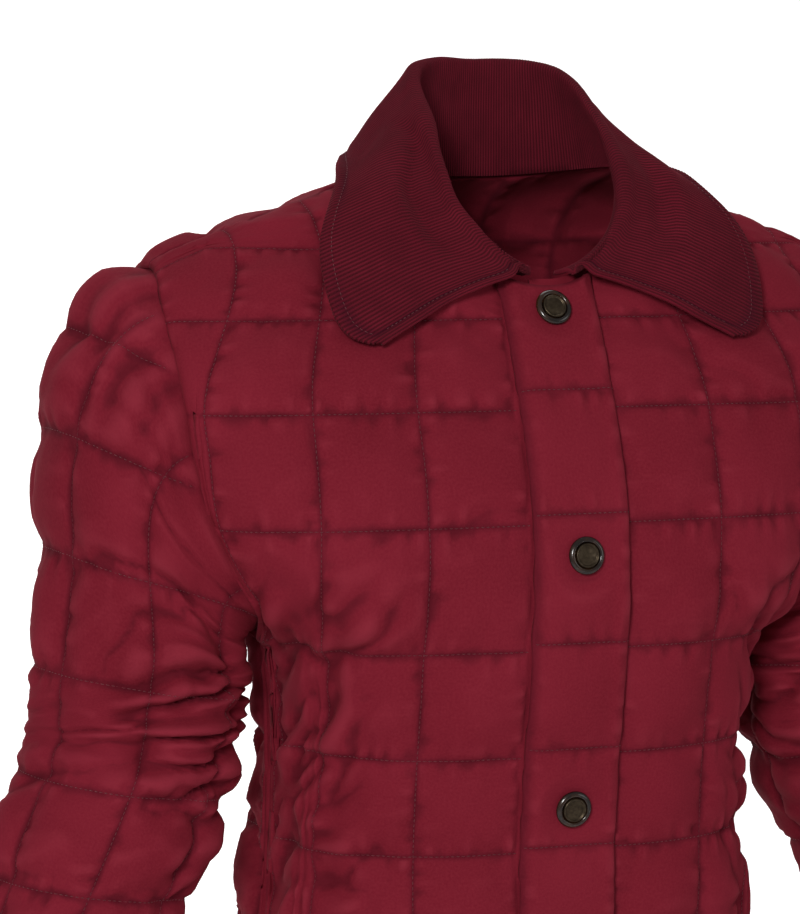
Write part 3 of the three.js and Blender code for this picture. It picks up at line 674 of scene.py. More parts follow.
def frontlike_object(name, grid, extra, folds, arc_from, seed, parts):
    """A quilted body panel from its coarse grid; extra is how many plain columns come before the cells."""
    base = refine(refine(grid, 0, parts), 1, parts)
    per_cell = parts * STEPS
    rows, columns = base.shape[:2]
    normals = body_normals(base)
    v, u = np.meshgrid(np.arange(rows) / per_cell, (np.arange(columns) - extra * parts) / per_cell,
                       indexing="ij")
    across = grid_length(base, 1)
    whole = across[:, -1:]
    if extra:
        arc = arc_from + across - across[:, extra * parts][:, None]
        to_side = whole - across
    else:
        arc = across / whole * BACK_WIDTH
        to_side = np.minimum(across, whole - across)
    puffed, puckers, near = quilting(u, v, BODY_PUFF, seed)
    scale = cell_scale(base, per_cell)
    puffed = (puffed * scale ** 1.5 + puckers * scale ** 2) * (u > 0)
    edge = np.clip(to_side / EDGE_CALM, 0, 1)
    level = base[:, :, 2]
    down = grid_length(base, 0)
    off_shoulder = NECK_UNROLLED * (1 - rise(abs(base[:, :, 0]), NECK_HALF_WIDTH - 4, NECK_HALF_WIDTH + 4))
    roll = np.clip(1 - np.minimum(to_side, down + SHOULDER_ROLL_START + off_shoulder) / ROLL_WIDTH, 0, 1)
    roll_down = -ROLL_DEPTH * (1 - np.sqrt(np.clip(1 - roll ** 2, 0, 1)))
    by_side = rise(-to_side, *CRUMPLE_REACH) * rise(-level, *CRUMPLE_GROWS)
    by_side = by_side * (1 - CRUMPLE_FADING * rise(-level, *CRUMPLE_FADES))
    lean = CRUMPLE_LEAN if extra else -CRUMPLE_LEAN
    crumple = SIDE_CRUMPLE * creases(arc, -level, lean, *CRUMPLE_SIZE, seed + 60) * by_side
    crumple = crumple * np.minimum(1, scale * 1.6)
    crumple = crumple + SOFT_CRUMPLE * creases(arc, -level, 0.2, 80, 40, seed + 63) * scale
    loose = softness(arc, v * CELL, seed + 7) * (0.35 + 0.65 * np.minimum(near / 12, 1))
    folds_mm = fold_height(folds, arc, base[:, :, 2], seed + 20)
    moved = (LOOSENESS * loose + FOLD_STRENGTH * folds_mm + crumple) * edge * (u > -0.01)
    height = CLOSED_EDGE + puffed + moved + roll_down
    sides = [(-1, -2)] if extra else [(-1, -2), (0, 1)]
    points = base + normals * height[:, :, None] + under_the_seam(base, sides)
    # Painted shade: the groove mark darkens the cloth along the stitch lines, and the relief mark paints a
    # highlight on raised cloth and shade in its hollows
    groove_shade = bell(near, GROOVE_SHADE_WIDTH) * (u > 0) * rise(scale, 0.2, 0.45)
    marks = {"groove_shade": groove_shade, "relief": relief(height, per_cell // 7)}
    piece = grid_object(name, points, arc, v * CELL, marks, normals)
    return piece, cell_stitches(points, normals, per_cell, extra * parts, scale)


def fixed(x):
    return lambda z: x


def front_piece(name, sign):
    places = column_places("front", FRONT_LINES)
    extra = [25.4] if sign < 0 else [-8.0, 9.0, 26.0]
    grid = panel_grid("front", [fixed(x) for x in extra] + places, sign)
    if sign < 0:
        grid[:, 1, 0] -= 1.2
    folds, seed = (FRONT_FOLDS_RIGHT, 11) if sign < 0 else (FRONT_FOLDS_LEFT, 31)
    return frontlike_object(name, grid, len(extra), folds, FRONT_LINES[0], seed, FINE)


def back_piece(name):
    places = column_places("back", BACK_LINES)
    right = panel_grid("back", places, -1)
    left = panel_grid("back", places, 1)
    centre = panel_grid("back", [fixed(lerp(-CELL / 2, CELL / 2, k / STEPS)) for k in (1, 2)], 1)
    grid = np.concatenate([right[:, ::-1], centre, left], axis=1)
    return frontlike_object(name, grid, 0, BACK_FOLDS, 0.0, 51, 6)


# The front strip in millimetres; a snap's press is where it ends and how wide its slope is
SNAP_SEAT = 9.6
SNAP_SUNK = 0.35
STRIP_WIDTH = 60.0
STRIP_CELLS = 11
STRIP_PUFF = 5.2
STRIP_BASE = 1.8
FREE_EDGE_ROUND = 2.6
FREE_EDGE_RADIUS = 4.0
FREE_EDGE_SWELL = 1.3
FREE_EDGE_RIPPLE = 0.9
SEAM_DIP = 2.9
STRIP_FULLNESS = 0.82
SNAP_PRESS = (25, 13)


def strip_piece(name):
    """The quilted strip over the middle front, flattened where the snaps are pressed through it."""
    places = [fixed(lerp(-1, 1, k / STEPS) * PLACKET_HALF_WIDTH) for k in range(STEPS + 1)]
    grid = panel_grid("front", places, 1, STRIP_ROW_LINES, PLACKET_TOP_DROP)
    across, down = 14, FINE
    base = refine(refine(grid, 0, down), 1, across)
    rows, columns = base.shape[:2]
    normals = body_normals(base)
    v, u = np.meshgrid(np.arange(rows) / (down * STEPS), np.arange(columns) / (across * STEPS),
                       indexing="ij")
    puffed, puckers, _ = quilting(u, v, STRIP_PUFF, 71, cell_width=STRIP_WIDTH)
    puffed = puffed + puckers
    along = np.minimum(v, STRIP_CELLS - v) * CELL
    from_free = (1 - u) * 2 * PLACKET_HALF_WIDTH
    from_seam = u * 2 * PLACKET_HALF_WIDTH
    inside = 1 - np.minimum(from_free / FREE_EDGE_RADIUS, 1)
    rounded = FREE_EDGE_ROUND * np.sqrt(np.clip(1 - inside ** 2, 0, 1))
    rounded = rounded + FREE_EDGE_SWELL * bell(from_free - 6, 4.0)
    seam_dip = -SEAM_DIP * bell(from_seam, 5.0)
    loose = softness(u * STRIP_WIDTH, v * CELL, 77) * np.minimum(1, np.minimum(from_seam, along + 4) / 12)
    ripple = FREE_EDGE_RIPPLE * noise(v * CELL, np.zeros_like(v), 17, 79) * bell(from_free, 14.0)
    height = PLACKET_LIFT + STRIP_BASE + STRIP_FULLNESS * puffed + rounded + seam_dip
    height = height + 0.5 * loose + ripple
    for z in SNAP_HEIGHTS:
        away = np.hypot(base[:, :, 0], base[:, :, 2] - z)
        press = np.clip((SNAP_PRESS[0] - away) / SNAP_PRESS[1], 0, 1)
        press = press * press * (3 - 2 * press)
        height = height * (1 - press) + (SNAP_SEAT - SNAP_SUNK) * press
    points = base + normals * height[:, :, None]
    # Painted shade: the groove mark darkens the cloth along the stitched rows and in the dip by the seam,
    # and the relief mark paints a highlight on raised cloth and shade in its hollows
    seam_dip_shade = bell(from_seam, 4.0)
    rows_only = np.abs(v - np.round(v)) * CELL
    groove_shade = np.maximum(bell(rows_only, GROOVE_SHADE_WIDTH), seam_dip_shade)
    marks = {"groove_shade": groove_shade, "relief": relief(height, down * STEPS // 7)}
    piece = grid_object(name, points, u * STRIP_WIDTH, v * CELL, marks, normals)
    lines = straight_lines(rows, columns, range(down * STEPS, rows - 1, down * STEPS), [])
    return piece, stitch_points(points, normals, lines)


def armhole_loop(sign, count):
    """The armhole's points, from the underarm up the front, over the shoulder and down the back."""
    turns = np.arange(61) * math.pi / 60
    heights = UNDERARM_Z + (SHOULDER_END_Z - UNDERARM_Z) * (1 - np.cos(turns)) / 2
    front = [(sign * edge_x(z), wall_y("front", edge_x(z), z), z) for z in heights]
    back = [(sign * edge_x(z), wall_y("back", edge_x(z), z), z) for z in heights]
    loop = np.array(front + back[::-1][1:-1])
    loop[0, 1] = 0.0
    closed = np.concatenate([loop, loop[:1]])
    fine = refine(closed[:, None, :], 0, 8)[:, 0]
    arc = running_length(fine)
    return points_at(np.arange(count) / count * arc[-1], arc, fine)


def sleeve_ring(sign, share, count):
    """A ring of the sleeve below the armhole level, with the direction in which the sleeve runs."""
    last = len(SLEEVE) - 1
    at = share * last

    def centre_at(k):
        return np.array([sign * table_at(SLEEVE, 1, k), table_at(SLEEVE, 2, k), table_at(SLEEVE, 3, k)])

    axis = unit(centre_at(min(at + 0.05, last)) - centre_at(max(at - 0.05, 0)))
    forward = unit(np.array([0.0, -1.0, 0.0]) + axis * axis[1])
    inward = unit(np.array([-sign, 0.0, 0.0]) + axis * (sign * axis[0]))
    angle = 2 * math.pi * np.arange(count)[:, None] / count
    across, deep = table_at(SLEEVE, 4, at), table_at(SLEEVE, 5, at)
    return centre_at(at) + inward * np.cos(angle) * across + forward * np.sin(angle) * deep, axis


def sleeve_grid(sign):
    """The sleeve's coarse rings, from just inside the armhole to the cuff."""
    count = SLEEVE_CELLS_AROUND * STEPS
    loop = armhole_loop(sign, count)
    first, axis = sleeve_ring(sign, 0, count)
    outward = np.array([sign * 0.957, 0.0, -0.29])
    radial = loop - loop.mean(axis=0)
    radial = unit(radial - (radial @ outward)[:, None] * outward)
    underarm = np.maximum(0, np.cos(2 * math.pi * np.arange(count) / count))[:, None]
    start = loop + outward * SLEEVE_START - radial * SLEEVE_TUCK + np.array([0, 0, 8.0]) * underarm ** 8
    reach = np.linalg.norm(first - start, axis=1)[:, None]
    pull = outward * reach * (1.1 + 0.8 * underarm)
    drop = axis * reach * 1.1
    rings = []
    head_rows = SLEEVE_CELLS_HEAD * STEPS
    for r in range(head_rows):
        t = r / head_rows
        rings.append(start * (1 + 2 * t) * (1 - t) ** 2 + pull * t * (1 - t) ** 2
                     + first * t * t * (3 - 2 * t) + drop * t * t * (t - 1))
    below = SLEEVE_CELLS_BELOW * STEPS
    return np.array(rings + [sleeve_ring(sign, r / below, count)[0] for r in range(below + 1)])


SLEEVE_AROUND = 400.0
SLEEVE_CELL_ACROSS = SLEEVE_AROUND / SLEEVE_CELLS_AROUND
SLEEVE_CELL_DOWN = 58.0


# Millimetres: where the sleeve bends, round it and down from the underarm, and how far its folds reach
ELBOW_AROUND = 62.0
ELBOW_DOWN = 22.0
ELBOW_REACH_AROUND = 95.0
ELBOW_REACH_DOWN = 105.0
SLEEVE_PUFF = 9.0
SLEEVE_BASE = 2.4
HEAD_SWELL = 8.0
HEAD_SWELL_LENGTH = 60.0

# The sleeve's creases: lean, length and width, and how deep they are everywhere, more below the
# underarm and more by the elbow
CREASE_LEAN = 0.42
CREASE_SIZE = (80, 21)
CREASE_DEPTHS = (0.7, 1.2, 6.6)


def sleeve_rows(grid):
    """The quilt row at each point: level below the elbow, and leaning down to the body above it."""
    level = grid[:, :, 2]
    lean = 0.14 + 0.46 * rise(level, -330, -90)
    return (lean * (abs(grid[:, :, 0]) - 215) - level) / 60.0


def sleeve_piece(name, sign, seed):
    parts = 6
    base = refine(refine(sleeve_grid(sign), 0, parts), 1, parts, closed=True)
    rows, columns = base.shape[:2]
    per_cell = parts * STEPS
    middle = base.mean(axis=1, keepdims=True)
    normals = from_middle(base, grid_normals(base, closed=True), middle)
    v, u = np.meshgrid(np.arange(rows) / per_cell, np.arange(columns) / per_cell, indexing="ij")
    around = u * SLEEVE_CELL_ACROSS
    down = (v - SLEEVE_CELLS_HEAD) * SLEEVE_CELL_DOWN
    cell_v = sleeve_rows(base)
    puffed, puckers, near = quilting(u, cell_v, SLEEVE_PUFF, seed, SLEEVE_CELL_ACROSS,
                                     SLEEVE_CELL_DOWN, SLEEVE_CELLS_AROUND)
    scale = cell_scale(base, per_cell)
    puffed = puffed * scale + puckers * scale ** 2
    from_seam = v * SLEEVE_CELL_DOWN
    from_cuff = (SLEEVE_CELLS_HEAD + SLEEVE_CELLS_BELOW - v) * SLEEVE_CELL_DOWN
    held = np.clip(from_seam / 16, 0, 1) * np.clip(from_cuff / 10, 0, 1)
    loose = softness(around, v * SLEEVE_CELL_DOWN, seed + 7, SLEEVE_AROUND)
    folds_mm = sum(fold_height(SLEEVE_FOLDS, around + shift, down, seed + 20)
                   for shift in (-SLEEVE_AROUND, 0, SLEEVE_AROUND))
    strength = np.clip(from_seam / 6, 0, 1)
    elbow = sum(bell(around - ELBOW_AROUND - turn, ELBOW_REACH_AROUND) for turn in (0, SLEEVE_AROUND))
    elbow = elbow * bell(down - ELBOW_DOWN, ELBOW_REACH_DOWN)
    crumple = sum(weight * creases(around + shift, down, CREASE_LEAN, *CREASE_SIZE, seed + 60)
                  for weight, shift in ((rise(around, 0, 60), 0), (1 - rise(around, 0, 60), SLEEVE_AROUND)))
    swell = HEAD_SWELL * rise(from_seam, -6, 9) * np.exp(-from_seam / HEAD_SWELL_LENGTH)
    height = SLEEVE_BASE + swell + (puffed + 0.8 * loose) * held + FOLD_STRENGTH * folds_mm * strength
    everywhere, below_arm, at_elbow = CREASE_DEPTHS
    deep = everywhere + below_arm * rise(down, -80, 0) + at_elbow * elbow
    height = height + crumple * deep * held * np.minimum(1, 1.4 * scale)
    points = base + normals * height[:, :, None]
    # Painted shade: the groove mark darkens the cloth along the stitch lines, and the relief mark paints a
    # highlight on raised cloth and shade in its hollows
    groove_shade = bell(near, GROOVE_SHADE_WIDTH) * held
    marks = {"groove_shade": groove_shade, "relief": relief(height, per_cell // 7, closed=True)}
    piece = grid_object(name, points, around, v * SLEEVE_CELL_DOWN, marks, normals, closed=True)
    lines = []
    turns = np.arange(columns + 1)
    first, last = 0.12 * per_cell, rows - 1.0 - 0.1 * per_cell
    for n in range(int(np.ceil(cell_v.min())), int(cell_v.max()) + 1):
        at = np.array([np.interp(n, cell_v[:, c % columns], np.arange(rows)) for c in turns])
        inside = (at > first) & (at < last)
        for run in np.split(turns, np.where(np.diff(inside.astype(int)) != 0)[0] + 1):
            if inside[run[0]] and len(run) > 4:
                lines.append((at[run], run.astype(float)))
    steps = np.arange(first, last, 1.0)
    for n in range(SLEEVE_CELLS_AROUND):
        lines.append((steps, np.full(len(steps), float(n * per_cell))))
    return piece, stitch_points(points, normals, lines, closed=True)


# The collar

COLLAR_WALL = 2.6
WALE_PITCH = 2.2
WALE_SAMPLES = 4
WALE_HEIGHT = 0.42
COLLAR_STATIONS = 141
COLLAR_PARTS = 4
COLLAR_SMOOTHINGS = 8
COLLAR_FOLD_STRENGTH = 1.9
EDGE_STITCH_INSET = 7.5
EDGE_STITCH_SINK = 0.9
RIM_PLUMP = 1.1
RIM_PLUMP_PLACE = 3.5

# The share of the way round the neck at which its back ends and its front starts
NECK_BACK_SHARE = 0.46
FRONT_END_X = 10


def neck_seam(share):
    """The neck seam at a share of the way round from the back, and the direction past it."""
    back = share < NECK_BACK_SHARE
    side = "back" if back else "front"
    if back:
        x = NECK_HALF_WIDTH * math.sin(math.pi / 2 * share / NECK_BACK_SHARE)
    else:
        past = (share - NECK_BACK_SHARE) / (1 - NECK_BACK_SHARE)
        x = lerp(NECK_HALF_WIDTH, FRONT_END_X, past ** 1.5)
    z = top_height(side, x)
    seam = np.array([x, wall_y(side, x, z), z])
    lower = np.array([x, wall_y(side, x, z - 6), z - 6])
    return seam, unit(seam - lower)


# How far the collar stays off the body by the neck and past it, and where one gives way to the other
COLLAR_CLEARANCE = (15.2, 10.6)
CLEARANCE_CHANGE = (34, 60)


def clear_of_body(point):
    """Moves a point of the collar's fall out from the wall, or up from the ridge, until it is clear."""
    x = abs(point[0])
    clearance = lerp(*COLLAR_CLEARANCE, smoothstep(x, *CLEARANCE_CHANGE))
    climb = ridge_height(x) + clearance - point[2]
    before = point[1] < ridge_y(x)
    wall = wall_y("front" if before else "back", x, point[2] - clearance)
    out = point[1] - wall + clearance if before else wall + clearance - point[1]
    if climb > 0 and out > 0:
        share = climb ** 4 / (climb ** 4 + out ** 4)
        point[2] += climb * math.sqrt(1 - share)
        point[1] += (-out if before else out) * math.sqrt(share)
    return point


def collar_column(share):
    roll = np.array([table_at(COLLAR, k, share) for k in (1, 2, 3)])
    edge = np.array([table_at(COLLAR, k, share) for k in (4, 5, 6)])
    seam, onward = neck_seam(share)
    foot = seam + onward * 4.4
    outward = unit((edge - roll) * np.array([1, 1, 0]))
    radius = min(COLLAR_ROLL_RADIUS, np.linalg.norm(foot - roll) * 0.35)
    up = np.array([0.0, 0.0, 1.0])

    def fall(t, lift):
        top = roll + outward * 2 * radius - up * radius
        return clear_of_body(top * (1 - t) + edge * t + up * lift)

    return [
        foot, foot * 0.65 + roll * 0.35, foot * 0.3 + roll * 0.7, roll - up * radius * 0.6,
        roll + outward * radius * 0.35 + up * radius * 0.1, roll + outward * radius * 1.3,
        fall(0.02, 1), fall(0.22, 3), fall(0.48, 4), fall(0.74, 2), fall(1, 0),
    ]


# Folds of the collar: from and to, each as distance round from the middle of the back and down from the
# roll, then bend, width and depth
COLLAR_FOLDS = [
    (-150, 16, -238, 22, 5, 6, -3.0), (-168, 34, -226, 36, -3, 7, 2.2), (-120, 20, -190, 8, -4, 6, -1.8),
    (146, 20, 236, 30, -5, 7, -2.4), (160, 38, 222, 44, 3, 7, 1.6), (-40, 14, 40, 16, 3, 8, -1.2),
    (96, 26, 150, 54, 5, 10, -1.4), (-96, 30, -146, 60, -5, 10, -1.4),
]


def collar_piece(name):
    stations = np.linspace(-1, 1, COLLAR_STATIONS)
    columns = []
    for across in stations:
        column = np.array(collar_column(abs(across)))
        column[:, 0] *= np.sign(across)
        columns.append(column)
    columns = np.array(columns)
    for _ in range(COLLAR_SMOOTHINGS):
        columns[1:-1] = (columns[:-2] + 2 * columns[1:-1] + columns[2:]) / 4
    coarse = refine(columns.transpose(1, 0, 2), 0, COLLAR_PARTS)
    fall_row = 8 * COLLAR_PARTS
    arc = running_length(coarse[fall_row])
    wales = int(arc[-1] / WALE_PITCH)
    at = np.linspace(0, arc[-1], wales * WALE_SAMPLES + 1)
    base = np.stack([points_at(at, arc, row) for row in coarse])
    rows = base.shape[0]
    normals = grid_normals(base)
    fall_outward = base[fall_row] - base[2]
    if np.sum(normals[fall_row] * fall_outward) < 0:
        normals = -normals
    down = grid_length(base, 0)
    roll_row = 4 * COLLAR_PARTS
    from_roll = down - down[roll_row][None]
    to_edge = down[-1][None] - down
    along = np.broadcast_to(at[None] - arc[-1] / 2, from_roll.shape)
    to_end = np.minimum(at, arc[-1] - at)[None]
    rib = 0.5 + 0.5 * np.cos(2 * math.pi * np.arange(len(at)) / WALE_SAMPLES)[None]
    rib = np.broadcast_to(rib, from_roll.shape) * (0.85 + 0.15 * noise(along, down, 6, 91))
    from_rim = np.minimum(to_edge, to_end)
    stitched = bell(from_rim - EDGE_STITCH_INSET, 1.5) * (from_roll > 0)
    waves = 1.3 * noise(along, down, 44, 92) + 0.7 * noise(along, down, 22, 93)
    off_plump = abs(from_rim - RIM_PLUMP_PLACE) / RIM_PLUMP_PLACE
    plump = RIM_PLUMP * np.clip(1 - off_plump, 0, 1) * (from_roll > 0)
    folds = fold_height(COLLAR_FOLDS, along, from_roll, 95) * (from_roll > 4)
    calm = np.clip(down / 14, 0, 1) * np.clip(to_edge / 6 + 0.4, 0, 1)
    height = COLLAR_WALL / 2 + WALE_HEIGHT * (rib - 0.5) * (1 - 0.5 * stitched) + plump
    height = height - EDGE_STITCH_SINK * stitched
    height = height + (waves + COLLAR_FOLD_STRENGTH * folds) * calm
    points = base + normals * height[:, :, None]
    # Painted shade: the wale mark darkens the valleys between the wales, and the groove mark darkens the
    # sunk edge stitching
    marks = {"wale_shade": rib, "groove_shade": np.maximum(stitched * 0.6, 0)}
    piece = grid_object(name, points, at[None] + np.zeros_like(down), down, marks, normals,
                        COLLAR_WALL * MM)
    columns_count = len(at)
    rim = []
    inset_column = EDGE_STITCH_INSET / (at[1] - at[0])
    all_rows = np.arange(rows)
    row_of = np.array([np.interp(d[-1] - EDGE_STITCH_INSET, d, all_rows) for d in down.T])
    across = np.arange(inset_column, columns_count - inset_column, 1.0)
    rim.append((np.interp(across, np.arange(columns_count), row_of), across))
    for column in (inset_column, columns_count - 1 - inset_column):
        reach = np.arange(roll_row + 6, np.interp(column, np.arange(columns_count), row_of), 1.0)
        rim.append((reach, np.full(len(reach), column)))
    return piece, stitch_points(points, normals, rim)


# The snaps: half profiles as distance from the axis and height above the seat

RIM_PROFILE = [
    (0.4, 0.0), (8.6, 0.0), (10.2, 0.35), (10.95, 1.1), (11.0, 1.7), (10.7, 2.3), (10.0, 2.95),
    (9.2, 3.35), (8.5, 3.4), (8.0, 3.15), (7.7, 2.75), (7.5, 2.3), (7.3, 2.2), (0.4, 2.2),
]
CAP_PROFILE = [
    (0.0, 2.45), (7.0, 2.45), (7.15, 2.9), (7.05, 3.35), (6.75, 3.75), (6.4, 3.9), (6.05, 3.75),
    (5.8, 3.35), (5.5, 3.1), (5.0, 3.12), (4.0, 3.42), (2.6, 3.66), (1.2, 3.76), (0.0, 3.78),
]
SNAP_SEGMENTS = 56


def turned_object(name, profile, centre, axis, material):
    """A turned piece with its base at the centre, standing along the axis."""
    bm = bmesh.new()
    line = [bm.verts.new((radius * MM, 0.0, height * MM)) for radius, height in profile]
    edges = [bm.edges.new(pair) for pair in zip(line[:-1], line[1:])]
    bmesh.ops.spin(bm, geom=line + edges, cent=(0, 0, 0), axis=(0, 0, 1), angle=2 * math.pi,
                   steps=SNAP_SEGMENTS, use_merge=True)
    bmesh.ops.remove_doubles(bm, verts=bm.verts, dist=1e-6)
    bmesh.ops.recalc_face_normals(bm, faces=bm.faces)
    turn = Vector((0, 0, 1)).rotation_difference(Vector(axis)).to_matrix().to_4x4()
    bmesh.ops.transform(bm, matrix=Matrix.Translation(centre) @ turn, verts=bm.verts)
    mesh = bpy.data.meshes.new(name)
    bm.to_mesh(mesh)
    bm.free()
    mesh.shade_smooth()
    mesh.materials.append(material)
    piece = put_in_scene(name, mesh)
    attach(piece, "root")
    return piece


def snap_seat(number):
    """The middle of a snap's base and the direction in which it faces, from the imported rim."""
    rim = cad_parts[f"snap_rim_{number}"].data
    points = np.array([vertex.co for vertex in rim.vertices])
    middle = points.mean(axis=0)
    axis = np.linalg.svd(points - middle)[2][2]
    axis = axis if axis[1] < 0 else -axis
    base = ((points - middle) @ axis).min()
    return Vector(middle + axis * base), Vector(axis)


# Materials

# A colour mixing node's sockets
MIX_SHARE = 0
MIX_LOW = 6
MIX_HIGH = 7
MIX_RESULT = 2

# Sizes of the patterns in the materials, in millimetres
FADING_SIZE = 111.1
NAP_SIZE = 1.4286
SLUB_SIZE = 4.1667
# The real threads are about 0.3 mm apart, and are drawn coarser so that they show
WEAVE_SIZE = 0.6667
PILE_SHADE_SIZE = 45.455
# Single tufts of pile are too fine to show, so bunches of them are drawn
PILE_SIZE = 0.5556
HORN_STREAK_SIZE = 7.6923
BRASS_WEAR_SIZE = 2.381
BUMP_DEPTH = 0.3
BRASS_BUMP_DEPTH = 0.2


def new_material(name):
    material = bpy.data.materials.new(name)
    material.use_nodes = True
    tree = material.node_tree
    return material, tree, tree.nodes["Principled BSDF"]


def add(tree, kind, links=None, values=None, **settings):
    """Adds a node with its settings and its inputs' values, and links inputs to other sockets."""
    node = tree.nodes.new(kind)
    for key, value in settings.items():
        setattr(node, key, value)
    for key, value in (values or {}).items():
        node.inputs[key].default_value = value
    for key, socket in (links or {}).items():
        tree.links.new(socket, node.inputs[key])
    return node


def per_metre(size):
    return 1 / (size * MM)


def layered(tree, base, layers):
    """A colour with others laid over it, each as far as its mark has gone from one value to another."""
    tone = None
    for mark, start, end, most, code in layers:
        limits = {"From Min": start, "From Max": end, "To Max": most}
        share = add(tree, "ShaderNodeMapRange", {"Value": mark}, limits).outputs[0]
        links = {MIX_SHARE: share}
        colours = {MIX_HIGH: linear(code)}
        if tone is None:
            colours[MIX_LOW] = base
        else:
            links[MIX_LOW] = tone
        tone = add(tree, "ShaderNodeMix", links, colours, data_type="RGBA").outputs[MIX_RESULT]
    return tone


def give_surface(tree, shader, tone, values, height=None, strength=0.0, depth=BUMP_DEPTH):
    """Puts a colour, the surface's values and a fine unevenness on a material."""
    for key, value in values.items():
        shader.inputs[key].default_value = value
    tree.links.new(tone, shader.inputs["Base Color"])
    if height:
        values = {"Strength": strength, "Distance": depth * MM}
        bump = add(tree, "ShaderNodeBump", {"Height": height}, values)
        tree.links.new(bump.outputs[0], shader.inputs["Normal"])


def cloth_material(settings):
    # Brushed cotton-like cloth, dyed burgundy, painted lighter on its raised puffs and fold ridges as a
    # highlight, and darker in its hollows and stitched grooves as shade
    material, tree, shader = new_material("Peached cotton cloth")
    uv = add(tree, "ShaderNodeUVMap", uv_map="cloth_uv").outputs[0]
    unevenness = [
        add(tree, "ShaderNodeTexNoise", {"Vector": uv}, {"Scale": per_metre(size), "Detail": detail})
        for size, detail in ((FADING_SIZE, 3.0), (NAP_SIZE, 4.0), (WEAVE_SIZE, 2.0), (SLUB_SIZE, 3.0))
    ]
    fading, nap, weave, slub = [node.outputs[0] for node in unevenness]
    groove_shade = add(tree, "ShaderNodeAttribute", attribute_name="groove_shade").outputs["Fac"]
    relief_light_and_shade = add(tree, "ShaderNodeAttribute", attribute_name="relief").outputs["Fac"]
    tone = layered(tree, settings.cloth_colour, [
        (fading, 0.35, 0.65, 1.0, "#861F31"),
        (nap, 0.3, 0.7, 0.35, "#952F3C"),
        # Painted shade along the stitched grooves and the seam dip
        (groove_shade, 0.0, 1.0, 0.55, "#54101F"),
        # Painted highlight on the raised puffs and fold ridges
        (relief_light_and_shade, 0.2, 1.0, 0.4, "#A23646"),
        # Painted shade in the hollows and fold valleys
        (relief_light_and_shade, -0.2, -1.0, 0.5, "#480D19"),
    ])
    height = add(tree, "ShaderNodeMath", {0: weave, 1: slub}, operation="ADD")
    surface = {
        "Roughness": 0.88, "Specular IOR Level": 0.1, "Sheen Weight": 0.12, "Sheen Roughness": 0.45,
        "Sheen Tint": linear("#D05A66"),
    }
    give_surface(tree, shader, tone, surface, height.outputs[0], 0.35)
    return material


def corduroy_material(settings):
    # Cut-pile cotton corduroy, with painted shade between its wales and along its sunk edge stitching
    material, tree, shader = new_material("Fine-wale corduroy")
    uv = add(tree, "ShaderNodeUVMap", uv_map="cloth_uv").outputs[0]
    unevenness = [
        add(tree, "ShaderNodeTexNoise", {"Vector": uv}, {"Scale": per_metre(size), "Detail": 3.0})
        for size in (PILE_SIZE, PILE_SHADE_SIZE)
    ]
    pile, shade = [node.outputs[0] for node in unevenness]
    wale_shade = add(tree, "ShaderNodeAttribute", attribute_name="wale_shade").outputs["Fac"]
    groove_shade = add(tree, "ShaderNodeAttribute", attribute_name="groove_shade").outputs["Fac"]
    tone = layered(tree, settings.corduroy_colour, [
        (shade, 0.35, 0.65, 1.0, "#76172A"),
        # Painted shade in the valleys between the wales
        (wale_shade, 0.9, 0.1, 1.0, "#38060F"),
        (pile, 0.35, 0.75, 0.3, "#8A2C3C"),
        # Painted shade along the sunk edge stitching
        (groove_shade, 0.0, 1.0, 1.0, "#35081A"),
    ])
    surface = {
        "Roughness": 0.95, "Specular IOR Level": 0.15, "Sheen Weight": 0.22, "Sheen Roughness": 0.35,
        "Sheen Tint": linear("#B84E5C"),
    }
    give_surface(tree, shader, tone, surface, pile, 0.5)
    return material


def horn_material(settings):
    # Moulded glossy plastic in the brown and amber streaks of polished horn
    material, tree, shader = new_material("Horn-look plastic")
    where = add(tree, "ShaderNodeTexCoord").outputs["Object"]
    values = {"Scale": per_metre(HORN_STREAK_SIZE), "Detail": 3.0}
    streak = add(tree, "ShaderNodeTexNoise", {"Vector": where}, values).outputs[0]
    tone = layered(tree, settings.horn_colour, [(streak, 0.42, 0.68, 1.0, "#3C2412")])
    give_surface(tree, shader, tone, {"Roughness": 0.22, "Coat Weight": 0.35, "Coat Roughness": 0.08})
    return material


def brass_material(settings):
    # Stamped brass, antiqued dark and rubbed lighter in uneven patches
    material, tree, shader = new_material("Antiqued stamped brass")
    where = add(tree, "ShaderNodeTexCoord").outputs["Object"]
    values = {"Scale": per_metre(BRASS_WEAR_SIZE), "Detail": 4.0}
    worn = add(tree, "ShaderNodeTexNoise", {"Vector": where}, values).outputs[0]
    tone = layered(tree, settings.brass_colour, [(worn, 0.3, 0.8, 1.0, "#5F5342")])
    give_surface(tree, shader, tone, {"Metallic": 0.9}, worn, 0.25, BRASS_BUMP_DEPTH)
    limits = {"From Min": 0.3, "From Max": 0.7, "To Min": 0.48, "To Max": 0.3}
    rough = add(tree, "ShaderNodeMapRange", {"Value": worn}, limits).outputs[0]
    tree.links.new(rough, shader.inputs["Roughness"])
    return material


def thread_material(settings):
    # Spun polyester sewing thread, dyed to match the cloth
    material, _, shader = new_material("Matching sewing thread")
    shader.inputs["Base Color"].default_value = settings.thread_colour
    shader.inputs["Roughness"].default_value = 0.6
    shader.inputs["Sheen Weight"].default_value = 0.2
    return material


def shared(name, make):
    """A material that several pieces share, made once."""
    return bpy.data.materials.get(name) or make(bpy.context.scene.jacket)


def cloth():
    return shared("Peached cotton cloth", cloth_material)


def thread():
    return shared("Matching sewing thread", thread_material)


def finish_piece(piece, material, node):
    piece.data.materials.append(material)
    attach(piece, "root")
    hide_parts(node)
    return piece


# Operators

